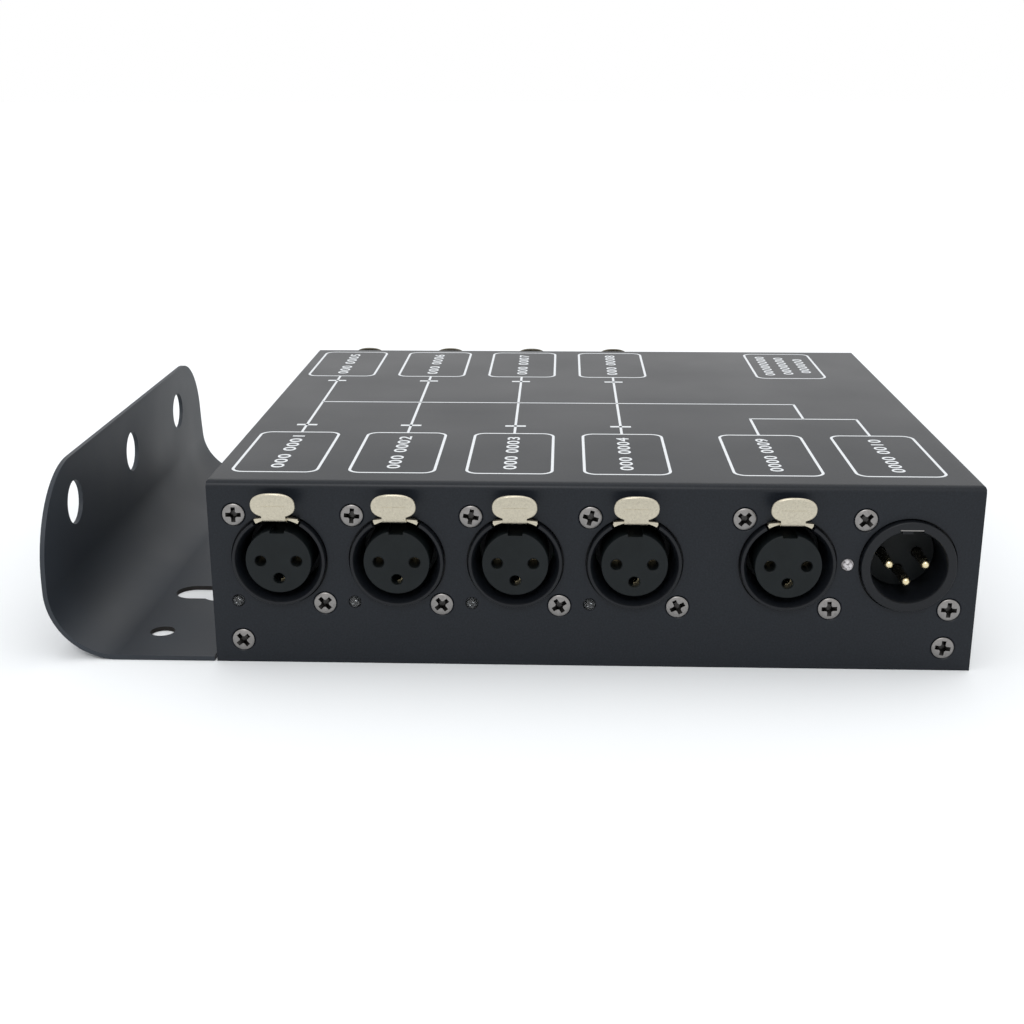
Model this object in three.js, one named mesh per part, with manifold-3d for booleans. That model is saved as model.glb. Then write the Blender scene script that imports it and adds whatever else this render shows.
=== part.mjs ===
// A signal splitter for stage lighting: a folded steel enclosure whose base plate runs on at the left as a
// bent hanging bracket, with nine latching output sockets, one input plug, five indicator lamps, a mains
// inlet and the boards that join them.
// Millimetres, +Z up. The origin is the middle of the enclosure's underside, and the front faces -Y.
import * as THREE from "three";
import { mergeVertices } from "three/addons/utils/BufferGeometryUtils.js";
import Module from "manifold-3d";

const wasm = await Module();
wasm.setup();

// Enclosure
const enclosureWidth = 190;
const enclosureDepth = 170;
const enclosureHeight = 48;
const coverSheet = 1.2;
const coverBend = 2;
const seamGap = 0.3;
const seatGap = 0.3;
const overrun = 1;

// Base plate and hanging bracket
const plateSheet = 1.2;
const bracketReach = 43.5;
const bracketLength = 158;
const bracketHeight = 47.5;
const bracketBend = 17;
const bracketFrontCorner = 25;
const bracketRearCorner = 20;
const footNotch = 0.7;
const boltHoleRadius = 5.95;
const boltHoleDrop = 13.5;
const boltHolePitch = 52.5;
const boltHoleCount = 3;
const footHoleRadius = 3.25;
const footHoleReach = 18.5;
const footHoleInset = 16.5;
const keyholeInset = 46;
const keyholeSlotWidth = 10;
const keyholeSlotReach = 22.5;
const keyholeHeadRadius = 7;
const keyholeHeadReach = 8.2;

// Screw tabs that stand up from the base plate, and the case screws in them
const tabWidth = 11;
const tabMargin = 2.5;
const tabBend = 2.8;
const caseScrewInset = 7.1;
const caseScrewHeightShare = 0.125;
const screwHeadRadius = 2.75;
const screwHeadDepth = 1.5;
const screwHeadProud = 0.2;
const screwShankRadius = 1.2;
const screwLength = 6;
const screwClearance = 0.3;

// Sockets, measured in the panel's plane from the socket's centre
const socketInset = 17.4;
const socketPitch = 29.4;
const socketHeightShare = 0.577;
const rearSocketLift = 1;
const outputsPerPanel = 4;
const socketHoleRadius = 12.1;
const ringClearance = 0.45;
const ringProud = 1.8;
const boreRadius = 9.65;
const mouthRadius = 10.8;
const mouthDepth = 4;
const shellDepth = 13;
const flangeRadius = 13;
const flangeSheet = 2.2;
const flangeEarRadius = 3.4;
const flangeScrewX = 10.95;
const flangeScrewZ = 11.55;
const flangeHoleRadius = 1.25;

// Insulating inserts and their contacts
const insertRadius = 8.2;
const insertBaseSheet = 3.5;
const insertTail = 1;
const insertClearance = 0.35;
const contactCircle = 4.49;
const contactHoleRadius = 1.4;
const contactHoleDepth = 9;
const keywayWidth = 3.6;
const keywayDepth = 0.9;
const keywayLength = 7;
const pinRadius = 1.2;
const pinClearance = 0.2;
const inputBoreRadius = 9.1;
const inputMouthRadius = 9.4;
const inputMouthDepth = 1;
const inputProud = 1.6;
const inputNotchWidth = 5.8;
const inputNotchDepth = 2.2;
const inputNotchRise = 0.3;
const inputKeyWidth = 2.6;
const inputKeyRise = 1.8;
const inputKeyLength = 7;

// Latch levers, measured from the socket's centre and the panel's face
const leverSheet = 0.8;
const leverRadius = 11;
const leverPivotDepth = 3;
const saddleHalfAngle = 28;
const saddleRear = 6;
const saddleLap = 0.5;
const wingHalfWidth = 5.4;
const wingDroop = 40;
const wingFront = 2.2;
const wingRear = 0.9;
const neckWidth = 5.85;
const neckReach = 3.5;
const neckBend = 0.5;
const thumbLean = 12;
const thumbWidth = 11.3;
const thumbHeight = 6.1;
const thumbTop = 6.9;
const thumbPower = 2.4;
const hookDepth = 8.2;
const hookSheet = 1;
const hookWidth = 3.4;
const hookRadius = 8.6;
const slotFloorRadius = 10.2;
const slotSideAngle = 3;
const ridgeWidth = 1.2;

// Indicator lamps
const lampRadius = 1.5;
const lampClearance = 0.15;
const lampProud = 1.2;
const lampBody = 5.4;
const lampX = 10.9;
const lampZ = 11.1;
const lampLeadSheet = 0.5;
const lampLeadPitch = 1.27;

// Boards
const boardSheet = 1.6;
const socketBoardMargin = 4;
const socketBoardDrop = 13.7;
const socketBoardGap = 2.3;
const mainBoardMarginX = 8;
const mainBoardMarginY = 26;
const mainBoardHeight = 10;
const boardHoleRadius = 1.6;
const boardHoleInset = 5;
const standoffRadius = 3.2;
const standoffPinRadius = 1.3;
const chipLength = 9;
const chipWidth = 6.4;
const chipHeight = 3.2;
const chipPitch = 16;
const headerWidth = 26;
const headerDepth = 5;
const headerHeight = 6;
const ribbonSheet = 1;
const ribbonWidth = 22;
const ribbonBend = 4;

// Supply parts on the main board
const supplyInset = 33;
const transformerWidth = 28;
const transformerDepth = 24;
const transformerHeight = 22;
const transformerY = -22;
const bobbinOverhang = 3;
const capacitorRadius = 8;
const capacitorHeight = 25;
const capacitorGroove = 4;
const capacitorCrimp = 1;
const capacitorY = 4;
const fuseRadius = 2.6;
const fuseLength = 20;
const fuseCapLength = 5;
const fuseCapRise = 0.5;
const fuseY = 20;
const fuseLift = 5;
const fuseClipSheet = 0.8;
const terminalWidth = 15;
const terminalDepth = 8;
const terminalHeight = 10;
const terminalY = 34;

// Mains inlet at the right of the rear panel
const inletInset = 28.5;
const inletHeight = 26;
const inletFlangeWidth = 50;
const inletFlangeHeight = 23;
const inletFlangeSheet = 2.6;
const inletFlangeCorner = 4;
const inletScrewPitch = 40;
const inletHoleRadius = 1.6;
const inletBodyWidth = 27;
const inletBodyHeight = 19.6;
const inletBodyChamfer = 5;
const inletBodyDepth = 15;
const inletWall = 1.8;
const inletFloor = 2;
const inletClearance = 0.3;
const bladeWidth = 2;
const bladeHeight = 4;
const bladePitch = 7;
const bladeDrop = 2;
const bladeSetback = 1;
const bladeTail = 5;
const leadRadius = 3;
const leadSag = 4;

// Faceting, as steps round a full circle or an arc
const roundSteps = 24;
const ringSteps = 20;
const canSteps = 16;
const smallSteps = 8;
const hexagonSteps = 6;
const bendSteps = 10;
const cornerSteps = 4;

// Places that follow from the sizes
const left = -enclosureWidth / 2;
const right = enclosureWidth / 2;
const front = -enclosureDepth / 2;
const rear = enclosureDepth / 2;
const flangeFront = coverSheet + seatGap;
const ringRadius = socketHoleRadius - ringClearance;
const insertRear = shellDepth + insertTail;
const socketBoardDepth = insertRear + seatGap;
const mainBoardTop = mainBoardHeight + boardSheet;
const tabDepth = coverSheet + seatGap;
const bracketMiddle = front + bracketLength / 2;
const boltHoleHeight = bracketHeight - boltHoleDrop;
const caseScrewHeight = enclosureHeight * caseScrewHeightShare;
const screwHoleRadius = screwShankRadius + screwClearance;
const tabHeight = caseScrewHeight + screwHoleRadius + tabMargin;
const socketHeight = enclosureHeight * socketHeightShare;
const socketBoardBottom = socketHeight - socketBoardDrop;
const socketBoardTop = enclosureHeight - coverSheet - socketBoardGap;
const supplyCentreX = right - supplyInset;

// Axes along which outlines are extruded. Each maps an outline's x and y, and its thickness.
const unitX = new THREE.Vector3(1, 0, 0);
const unitY = new THREE.Vector3(0, 1, 0);
const unitZ = new THREE.Vector3(0, 0, 1);
const alongX = new THREE.Matrix4().makeBasis(unitY, unitZ, unitX);
const alongY = new THREE.Matrix4().makeBasis(unitX, unitZ, unitY.clone().negate());
const alongZ = new THREE.Matrix4();

const radians = THREE.MathUtils.degToRad;
const quarterTurn = THREE.MathUtils.radToDeg(Math.PI / 2);

// Solids and meshes

function solidOf(geometry) {
  geometry.deleteAttribute("normal");
  geometry.deleteAttribute("uv");
  const merged = mergeVertices(geometry);
  const corners = merged.index.array;
  const kept = [];
  for (let i = 0; i < corners.length; i += 3) {
    const [a, b, c] = [corners[i], corners[i + 1], corners[i + 2]];
    if (a !== b && b !== c && c !== a) kept.push(a, b, c);
  }
  return new wasm.Manifold(
    new wasm.Mesh({
      numProp: 3,
      vertProperties: merged.attributes.position.array,
      triVerts: new Uint32Array(kept),
    }),
  );
}

function geometryOf(solid) {
  const mesh = solid.getMesh();
  const geometry = new THREE.BufferGeometry();
  geometry.setAttribute("position", new THREE.BufferAttribute(mesh.vertProperties, 3));
  geometry.setIndex(new THREE.BufferAttribute(mesh.triVerts, 1));
  geometry.computeVertexNormals();
  return geometry;
}

// An outline extruded along an axis between two places on it.
function prism(points, axis, from, to) {
  const shape = new THREE.Shape(points);
  const geometry = new THREE.ExtrudeGeometry(shape, { depth: to - from, bevelEnabled: false });
  geometry.applyMatrix4(axis);
  if (axis === alongX) geometry.translate(from, 0, 0);
  if (axis === alongY) geometry.translate(0, to, 0);
  if (axis === alongZ) geometry.translate(0, 0, from);
  return solidOf(geometry);
}

function box(x, y, z) {
  const geometry = new THREE.BoxGeometry(x[1] - x[0], y[1] - y[0], z[1] - z[0]);
  geometry.translate((x[0] + x[1]) / 2, (y[0] + y[1]) / 2, (z[0] + z[1]) / 2);
  return solidOf(geometry);
}

// A profile of [radius, place] pairs turned round the Y axis, or round Z when upright.
function turned(profile, steps, upright = false) {
  const points = profile.map(([radius, place]) => new THREE.Vector2(radius, place));
  const geometry = new THREE.LatheGeometry(points, steps);
  if (upright) geometry.rotateX(Math.PI / 2);
  const solid = solidOf(geometry);
  if (solid.volume() > 0) return solid;
  const flipped = new THREE.LatheGeometry(points.reverse(), steps);
  if (upright) flipped.rotateX(Math.PI / 2);
  return solidOf(flipped);
}

function joined(...solids) {
  return solids.reduce((whole, solid) => whole.add(solid));
}

function cut(solid, ...tools) {
  return tools.reduce((rest, tool) => rest.subtract(tool), solid);
}

// Outlines

function arc(x, y, radius, from, to, steps) {
  const points = [];
  for (let i = 0; i <= steps; i += 1) {
    const angle = from + ((to - from) * i) / steps;
    points.push(new THREE.Vector2(x + radius * Math.cos(angle), y + radius * Math.sin(angle)));
  }
  return points;
}

function circle(x, y, radius, steps) {
  return arc(x, y, radius, 0, 2 * Math.PI, steps).slice(0, -1);
}

function roundedRectangle(x, y, radius, steps) {
  const quarter = Math.PI / 2;
  return [
    ...arc(x[1] - radius, y[0] + radius, radius, -quarter, 0, steps),
    ...arc(x[1] - radius, y[1] - radius, radius, 0, quarter, steps),
    ...arc(x[0] + radius, y[1] - radius, radius, quarter, 2 * quarter, steps),
    ...arc(x[0] + radius, y[0] + radius, radius, 2 * quarter, 3 * quarter, steps),
  ];
}

// A rectangle whose two upper corners are rounded, each by its own radius.
function archedRectangle(x, y, leftRadius, rightRadius, steps) {
  const quarter = Math.PI / 2;
  return [
    new THREE.Vector2(x[0], y[0]),
    new THREE.Vector2(x[1], y[0]),
    ...arc(x[1] - rightRadius, y[1] - rightRadius, rightRadius, 0, quarter, steps),
    ...arc(x[0] + leftRadius, y[1] - leftRadius, leftRadius, quarter, 2 * quarter, steps),
  ];
}

// A slot with round ends between two points.
function stadium(a, b, radius, steps) {
  const angle = Math.atan2(b.y - a.y, b.x - a.x);
  const quarter = Math.PI / 2;
  return [
    ...arc(b.x, b.y, radius, angle - quarter, angle + quarter, steps),
    ...arc(a.x, a.y, radius, angle + quarter, angle + 3 * quarter, steps),
  ];
}

// A band between two radii, centred on the upward direction.
function sector(inner, outer, halfAngle, steps) {
  const up = Math.PI / 2;
  return [
    ...arc(0, 0, outer, up - halfAngle, up + halfAngle, steps),
    ...arc(0, 0, inner, up + halfAngle, up - halfAngle, steps),
  ];
}

// Places of the sockets, as x, height and whether they are on the rear panel
const outputPlaces = [];
for (const isRear of [false, true]) {
  const z = isRear ? socketHeight + rearSocketLift : socketHeight;
  for (let i = 0; i < outputsPerPanel; i += 1) {
    outputPlaces.push({ x: left + socketInset + i * socketPitch, z, isRear });
  }
}
const inputPlace = { x: right - socketInset, z: socketHeight, isRear: false };
const linkPlace = { x: inputPlace.x - socketPitch, z: socketHeight, isRear: false };
const allPlaces = [...outputPlaces, linkPlace, inputPlace];
const rearmostOutput = left + socketInset + (outputsPerPanel - 1) * socketPitch;

// Places of the lamps on the front panel
const lampPlaces = outputPlaces
  .filter((place) => !place.isRear)
  .map((place) => ({ x: place.x - lampX, z: socketHeight - lampZ }));
lampPlaces.push({ x: (linkPlace.x + inputPlace.x) / 2, z: socketHeight });

const inletX = right - inletInset;

// Screw places round a socket, seen from outside the panel it is on: upper left and lower right.
function panelScrews(place) {
  const side = place.isRear ? -1 : 1;
  return [
    { x: place.x - side * flangeScrewX, z: place.z + flangeScrewZ },
    { x: place.x + side * flangeScrewX, z: place.z - flangeScrewZ },
  ];
}

// The through range of a panel, along Y
function panelRange(isRear) {
  const face = isRear ? rear - coverSheet : front;
  return [face - overrun, face + coverSheet + overrun];
}

// A conical hole through the front or rear panel for a countersunk screw.
function countersink(x, z, isRear) {
  const mouth = screwHeadRadius + screwClearance;
  const throat = screwHoleRadius;
  const hole = turned(
    [
      [0, -overrun],
      [mouth, -overrun],
      [mouth, 0],
      [throat, screwHeadDepth],
      [throat, coverSheet + overrun],
      [0, coverSheet + overrun],
    ],
    smallSteps,
  );
  return isRear ? hole.mirror([0, 1, 0]).translate([x, rear, z]) : hole.translate([x, front, z]);
}

// Enclosure

function roundedBlock(inset) {
  const x = [left + inset, right - inset];
  const y = [front + inset, rear - inset];
  const bottom = inset > 0 ? -overrun : 0;
  const z = [bottom, enclosureHeight - inset];
  const radius = coverBend - inset;
  const lengthwise = prism(archedRectangle(y, z, radius, radius, cornerSteps), alongX, x[0], x[1]);
  const crosswise = prism(archedRectangle(x, z, radius, radius, cornerSteps), alongY, y[0], y[1]);
  return lengthwise.intersect(crosswise);
}

function coverSolid() {
  let cover = cut(roundedBlock(0), roundedBlock(coverSheet));
  const seamTop = enclosureHeight - coverBend;
  for (const isRear of [false, true]) {
    const seam = isRear
      ? [rear - coverSheet - seamGap, rear - coverSheet]
      : [front + coverSheet, front + coverSheet + seamGap];
    for (const x of [left, right - coverSheet]) {
      const wall = [x - overrun, x + coverSheet + overrun];
      cover = cut(cover, box(wall, seam, [-overrun, seamTop]));
    }
  }
  // The left wall stops above the base plate, which runs out under it.
  const leftWall = [left - overrun, left + coverSheet + overrun];
  const between = [front + coverSheet, rear - coverSheet];
  cover = cut(cover, box(leftWall, between, [-overrun, plateSheet + seatGap]));
  for (const place of allPlaces) {
    const [from, to] = panelRange(place.isRear);
    const hole = circle(place.x, place.z, socketHoleRadius, roundSteps);
    cover = cut(cover, prism(hole, alongY, from, to));
    for (const screw of panelScrews(place)) {
      cover = cut(cover, countersink(screw.x, screw.z, place.isRear));
    }
  }
  const [frontFrom, frontTo] = panelRange(false);
  for (const lamp of lampPlaces) {
    const hole = circle(lamp.x, lamp.z, lampRadius + lampClearance, smallSteps);
    cover = cut(cover, prism(hole, alongY, frontFrom, frontTo));
  }
  for (const isRear of [false, true]) {
    for (const x of [left + caseScrewInset, right - caseScrewInset]) {
      cover = cut(cover, countersink(x, caseScrewHeight, isRear));
    }
  }
  const [rearFrom, rearTo] = panelRange(true);
  cover = cut(cover, prism(inletOutline(inletClearance), alongY, rearFrom, rearTo));
  for (const side of [-1, 1]) {
    const x = inletX + (side * inletScrewPitch) / 2;
    cover = cut(cover, prism(circle(x, inletHeight, inletHoleRadius, smallSteps), alongY, rearFrom, rearTo));
  }
  return cover;
}

// Base plate with the hanging bracket

function bracketProfile() {
  const outer = left - bracketReach;
  const inner = outer + plateSheet;
  const centre = outer + bracketBend;
  const innerBend = bracketBend - plateSheet;
  const turn = Math.PI / 2;
  return [
    new THREE.Vector2(outer, bracketHeight),
    ...arc(centre, bracketBend, bracketBend, 2 * turn, 3 * turn, bendSteps),
    new THREE.Vector2(left - footNotch, 0),
    new THREE.Vector2(left - footNotch, plateSheet),
    ...arc(centre, bracketBend, innerBend, 3 * turn, 2 * turn, bendSteps),
    new THREE.Vector2(inner, bracketHeight),
  ];
}

function bracketSolid() {
  const length = [front, front + bracketLength];
  const sheet = prism(bracketProfile(), alongY, length[0], length[1]);
  const height = [-overrun, bracketHeight];
  const outline = archedRectangle(length, height, bracketFrontCorner, bracketRearCorner, bendSteps);
  return sheet.intersect(prism(outline, alongX, left - bracketReach - overrun, left));
}

// A keyhole in the foot: a slot that runs out from the enclosure, with a round head beside it.
function keyholeSolid(y) {
  const head = new THREE.Vector2(left - keyholeHeadReach, y);
  const end = new THREE.Vector2(left - keyholeSlotReach + keyholeSlotWidth / 2, y);
  const z = [-overrun, plateSheet + overrun];
  const slot = prism(stadium(end, head, keyholeSlotWidth / 2, cornerSteps), alongZ, z[0], z[1]);
  const round = prism(circle(head.x, head.y, keyholeHeadRadius, roundSteps), alongZ, z[0], z[1]);
  return joined(slot, round);
}

// A tab bent up from the base plate behind the front or rear panel, with a screw hole.
function tabSolid(x, isRear) {
  const innerBend = tabBend - plateSheet;
  const quarter = Math.PI / 2;
  const face = front + tabDepth;
  const root = face + 2 * tabBend;
  const profile = [
    new THREE.Vector2(root, 0),
    new THREE.Vector2(root, plateSheet),
    ...arc(face + tabBend, tabBend, innerBend, 3 * quarter, 2 * quarter, cornerSteps),
    new THREE.Vector2(face + plateSheet, tabHeight),
    new THREE.Vector2(face, tabHeight),
    ...arc(face + tabBend, tabBend, tabBend, 2 * quarter, 3 * quarter, cornerSteps),
  ];
  const tab = prism(profile, alongX, x - tabWidth / 2, x + tabWidth / 2);
  const hole = circle(x, caseScrewHeight, screwHoleRadius, smallSteps);
  const drilled = cut(tab, prism(hole, alongY, face - overrun, face + plateSheet + overrun));
  return isRear ? drilled.mirror([0, 1, 0]) : drilled;
}

function basePlateSolid() {
  const floorStart = left - footNotch - plateSheet;
  const floorEnd = right - coverSheet - seatGap;
  const edge = tabDepth + tabBend;
  const z = [0, plateSheet];
  let plate = joined(bracketSolid(), box([floorStart, floorEnd], [front + edge, rear - edge], z));
  for (const isRear of [false, true]) {
    const y = isRear ? [rear - edge - overrun, rear - tabDepth] : [front + tabDepth, front + edge + overrun];
    // Between its bent tabs the plate runs on flat to the panel.
    const inner = [
      left + caseScrewInset + tabWidth / 2 + seatGap,
      right - caseScrewInset - tabWidth / 2 - seatGap,
    ];
    plate = joined(plate, box(inner, y, z));
    for (const x of [left + caseScrewInset, right - caseScrewInset]) {
      plate = joined(plate, tabSolid(x, isRear));
    }
  }
  const spread = ((boltHoleCount - 1) * boltHolePitch) / 2;
  const outer = left - bracketReach;
  for (let i = 0; i < boltHoleCount; i += 1) {
    const y = bracketMiddle - spread + i * boltHolePitch;
    const hole = circle(y, boltHoleHeight, boltHoleRadius, roundSteps);
    plate = cut(plate, prism(hole, alongX, outer - overrun, outer + plateSheet + overrun));
  }
  for (const side of [-1, 1]) {
    const holeY = bracketMiddle + side * (bracketLength / 2 - footHoleInset);
    const keyholeY = bracketMiddle + side * (bracketLength / 2 - keyholeInset);
    const hole = circle(left - footHoleReach, holeY, footHoleRadius, ringSteps);
    plate = cut(plate, prism(hole, alongZ, -overrun, plateSheet + overrun), keyholeSolid(keyholeY));
  }
  return plate;
}

// A countersunk screw whose head lies in the panel, pointing into the enclosure along +Y.
function screwSolid() {
  return turned(
    [
      [0, -screwHeadProud],
      [screwHeadRadius, -screwHeadProud],
      [screwHeadRadius, 0],
      [screwShankRadius, screwHeadDepth],
      [screwShankRadius, screwLength],
      [0, screwLength],
    ],
    smallSteps,
  );
}

// Sockets. Each is drawn with its centre at the origin, the panel's face at y 0 and its depth along +Y.

function flangeSolid() {
  const rearFace = flangeFront + flangeSheet;
  const upper = new THREE.Vector2(-flangeScrewX, flangeScrewZ);
  const lower = new THREE.Vector2(flangeScrewX, -flangeScrewZ);
  const ears = prism(stadium(lower, upper, flangeEarRadius, cornerSteps), alongY, flangeFront, rearFace);
  const disc = prism(circle(0, 0, flangeRadius, ringSteps), alongY, flangeFront, rearFace);
  const holes = [upper, lower].map((at) =>
    prism(circle(at.x, at.y, flangeHoleRadius, smallSteps), alongY, flangeFront - overrun, rearFace + overrun),
  );
  return cut(joined(ears, disc), ...holes);
}

// The round body of a socket: a ring through the panel, open at both ends, with a coned mouth.
function barrelSolid(radii, mouth, proud) {
  return turned(
    [
      [radii[0], mouth.depth - proud],
      [mouth.radius, -proud],
      [radii[1], -proud],
      [radii[1], shellDepth],
      [radii[0], shellDepth],
      [radii[0], mouth.depth - proud],
    ],
    ringSteps,
  );
}

function boreTool(radius) {
  return prism(circle(0, 0, radius, ringSteps), alongY, flangeFront - overrun, shellDepth + overrun);
}

function outletShellSolid() {
  const mouth = { radius: mouthRadius, depth: mouthDepth };
  const barrel = barrelSolid([boreRadius, ringRadius], mouth, ringProud);
  const body = joined(barrel, cut(flangeSolid(), boreTool((boreRadius + ringRadius) / 2)));
  // The slot in which the latch lever lies, the window for its hook and the ridge on which it rocks
  const slotAngle = radians(saddleHalfAngle + slotSideAngle);
  const slotTop = flangeRadius + overrun;
  const slotEnds = [-ringProud - overrun, shellDepth + overrun];
  const slot = prism(sector(slotFloorRadius, slotTop, slotAngle, cornerSteps), alongY, slotEnds[0], slotEnds[1]);
  const windowSide = hookWidth / 2 + seatGap;
  const windowStart = hookDepth - hookSheet;
  const hookWindow = box([-windowSide, windowSide], [windowStart, slotEnds[1]], [insertRadius, slotTop]);
  const ridgeTop = leverRadius - seatGap;
  const ridgeEnds = [leverPivotDepth - ridgeWidth / 2, leverPivotDepth + ridgeWidth / 2];
  const ridgeRoot = (boreRadius + slotFloorRadius) / 2;
  const ridge = prism(sector(ridgeRoot, ridgeTop, slotAngle, cornerSteps), alongY, ridgeEnds[0], ridgeEnds[1]);
  return joined(cut(body, slot, hookWindow), ridge);
}

function contactPlaces() {
  return [
    { x: -contactCircle, z: 0 },
    { x: contactCircle, z: 0 },
    { x: 0, z: -contactCircle },
  ];
}

function outletInsertSolid() {
  const baseRadius = boreRadius - insertClearance;
  const baseFront = insertRear - insertBaseSheet;
  const body = turned(
    [
      [0, -ringProud],
      [insertRadius, -ringProud],
      [insertRadius, baseFront],
      [baseRadius, baseFront],
      [baseRadius, insertRear],
      [0, insertRear],
    ],
    ringSteps,
  );
  const mouth = -ringProud - overrun;
  const holes = contactPlaces().map((at) =>
    prism(circle(at.x, at.z, contactHoleRadius, smallSteps), alongY, mouth, contactHoleDepth),
  );
  const keyway = box(
    [-keywayWidth / 2, keywayWidth / 2],
    [mouth, keywayLength],
    [insertRadius - keywayDepth, insertRadius + overrun],
  );
  return cut(body, ...holes, keyway);
}

// The lever is one stamping: a saddle curved to the ring, two flat wings in front of the panel, a neck that
// runs out and turns up into an oval thumb piece, and an arm that runs in and turns down into the hook.
function latchSolid() {
  const lean = radians(thumbLean);
  const quarter = Math.PI / 2;
  const top = leverRadius + leverSheet;
  const armEnd = hookDepth + hookSheet;
  const bendCentre = new THREE.Vector2(-neckReach, top + neckBend);
  const outerBend = neckBend + leverSheet;
  const rise = new THREE.Vector2(-Math.sin(lean), Math.cos(lean));
  const sweep = [-quarter, lean - 2 * quarter];
  const outerArc = arc(bendCentre.x, bendCentre.y, outerBend, sweep[0], sweep[1], cornerSteps);
  const innerArc = arc(bendCentre.x, bendCentre.y, neckBend, sweep[1], sweep[0], cornerSteps);
  const neckRise = thumbTop - thumbHeight / 2;
  const frontRoot = outerArc[outerArc.length - 1];
  const rearRoot = innerArc[0];
  const strip = [
    new THREE.Vector2(-wingRear, leverRadius),
    ...outerArc,
    frontRoot.clone().addScaledVector(rise, neckRise),
    rearRoot.clone().addScaledVector(rise, neckRise),
    ...innerArc,
    new THREE.Vector2(-wingRear, top),
  ];
  const neck = prism(strip.reverse(), alongX, -neckWidth / 2, neckWidth / 2);
  const saddleBand = sector(leverRadius, top, radians(saddleHalfAngle), cornerSteps);
  const saddle = prism(saddleBand, alongY, -wingRear - saddleLap, saddleRear);
  const armSide = hookWidth / 2;
  const arm = box([-armSide, armSide], [saddleRear - saddleLap, armEnd], [leverRadius, top]);
  const hook = box([-armSide, armSide], [hookDepth, armEnd], [hookRadius, top]);
  return joined(neck, wingsSolid(), saddle, arm, hook, thumbSolid(rearRoot, rise));
}

// The two wings are one band with hardly any curve, across the neck in front of the panel.
function wingsSolid() {
  const up = Math.PI / 2;
  const spread = Math.asin(wingHalfWidth / wingDroop);
  const centre = leverRadius - wingDroop;
  const upper = arc(0, centre, wingDroop + leverSheet, up - spread, up + spread, cornerSteps);
  const lower = arc(0, centre, wingDroop, up + spread, up - spread, cornerSteps);
  return prism([...upper, ...lower], alongY, -wingFront, -wingRear);
}

// The thumb piece, an oval with full sides, standing on the neck's rear face and leaning with it.
function thumbSolid(root, rise) {
  const full = (share) => Math.sign(share) * Math.abs(share) ** (2 / thumbPower);
  const oval = circle(0, 0, 1, roundSteps).map(
    (point) => new THREE.Vector2((full(point.x) * thumbWidth) / 2, (full(point.y) * thumbHeight) / 2),
  );
  const geometry = new THREE.ExtrudeGeometry(new THREE.Shape(oval), { depth: leverSheet, bevelEnabled: false });
  const up = new THREE.Vector3(0, rise.x, rise.y);
  const outwards = new THREE.Vector3().crossVectors(unitX, up);
  geometry.applyMatrix4(new THREE.Matrix4().makeBasis(unitX, up, outwards));
  const centre = root.clone().addScaledVector(rise, thumbTop - thumbHeight / 2);
  geometry.translate(0, centre.x, centre.y);
  return solidOf(geometry);
}

function inputShellSolid() {
  const mouth = { radius: inputMouthRadius, depth: inputMouthDepth };
  const barrel = barrelSolid([inputBoreRadius, ringRadius], mouth, inputProud);
  const body = joined(barrel, cut(flangeSolid(), boreTool((inputBoreRadius + ringRadius) / 2)));
  const notchTop = inputMouthRadius + inputNotchRise;
  const notch = box(
    [-inputNotchWidth / 2, inputNotchWidth / 2],
    [-inputProud - overrun, inputNotchDepth],
    [0, notchTop],
  );
  const keyTop = inputBoreRadius + seatGap;
  const key = box(
    [-inputKeyWidth / 2, inputKeyWidth / 2],
    [shellDepth - inputKeyLength - insertBaseSheet, shellDepth - insertBaseSheet],
    [inputBoreRadius - inputKeyRise, keyTop],
  );
  return joined(cut(body, notch), key);
}

function inputInsertSolid() {
  const radius = inputBoreRadius - insertClearance;
  const faceDepth = insertRear - insertBaseSheet;
  const disc = prism(circle(0, 0, radius, ringSteps), alongY, faceDepth, insertRear);
  const holes = contactPlaces().map((at) =>
    prism(
      circle(at.x, at.z, pinRadius + pinClearance, smallSteps),
      alongY,
      faceDepth - overrun,
      insertRear + overrun,
    ),
  );
  return cut(disc, ...holes);
}

// A pin whose round tip ends in the panel's plane.
function pinSolid() {
  const shoulder = pinRadius;
  return turned(
    [
      [0, 0],
      [pinRadius * Math.SQRT1_2, shoulder - pinRadius * Math.SQRT1_2],
      [pinRadius, shoulder],
      [pinRadius, insertRear],
      [0, insertRear],
    ],
    smallSteps,
  );
}

// Indicator lamps, drawn at the origin with the panel's face at y 0

function lampSolid() {
  const dome = lampRadius;
  const half = dome * Math.SQRT1_2;
  const lens = turned(
    [
      [0, -lampProud],
      [half, dome - lampProud - half],
      [dome, dome - lampProud],
      [dome, lampBody - lampProud],
      [0, lampBody - lampProud],
    ],
    smallSteps,
  );
  const ends = [lampBody - lampProud - lampLeadSheet, socketBoardDepth - seatGap];
  const halfLead = lampLeadSheet / 2;
  const leads = [-1, 1].map((side) => {
    const x = (side * lampLeadPitch) / 2;
    return box([x - halfLead, x + halfLead], ends, [-halfLead, halfLead]);
  });
  return joined(lens, ...leads);
}

// Boards

function socketBoardSolid(x, headerX) {
  const z = [socketBoardBottom, socketBoardTop];
  const board = box(x, [socketBoardDepth, socketBoardDepth + boardSheet], z);
  const header = box(
    [headerX - headerWidth / 2, headerX + headerWidth / 2],
    [socketBoardDepth + boardSheet - seatGap, socketBoardDepth + boardSheet + headerHeight],
    [socketHeight - headerDepth / 2, socketHeight + headerDepth / 2],
  );
  return joined(board, header);
}

const mainBoardX = [left + mainBoardMarginX, right - mainBoardMarginX];
const mainBoardY = [front + mainBoardMarginY, rear - mainBoardMarginY];
const ribbonX = (left + rearmostOutput) / 2;

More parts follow.
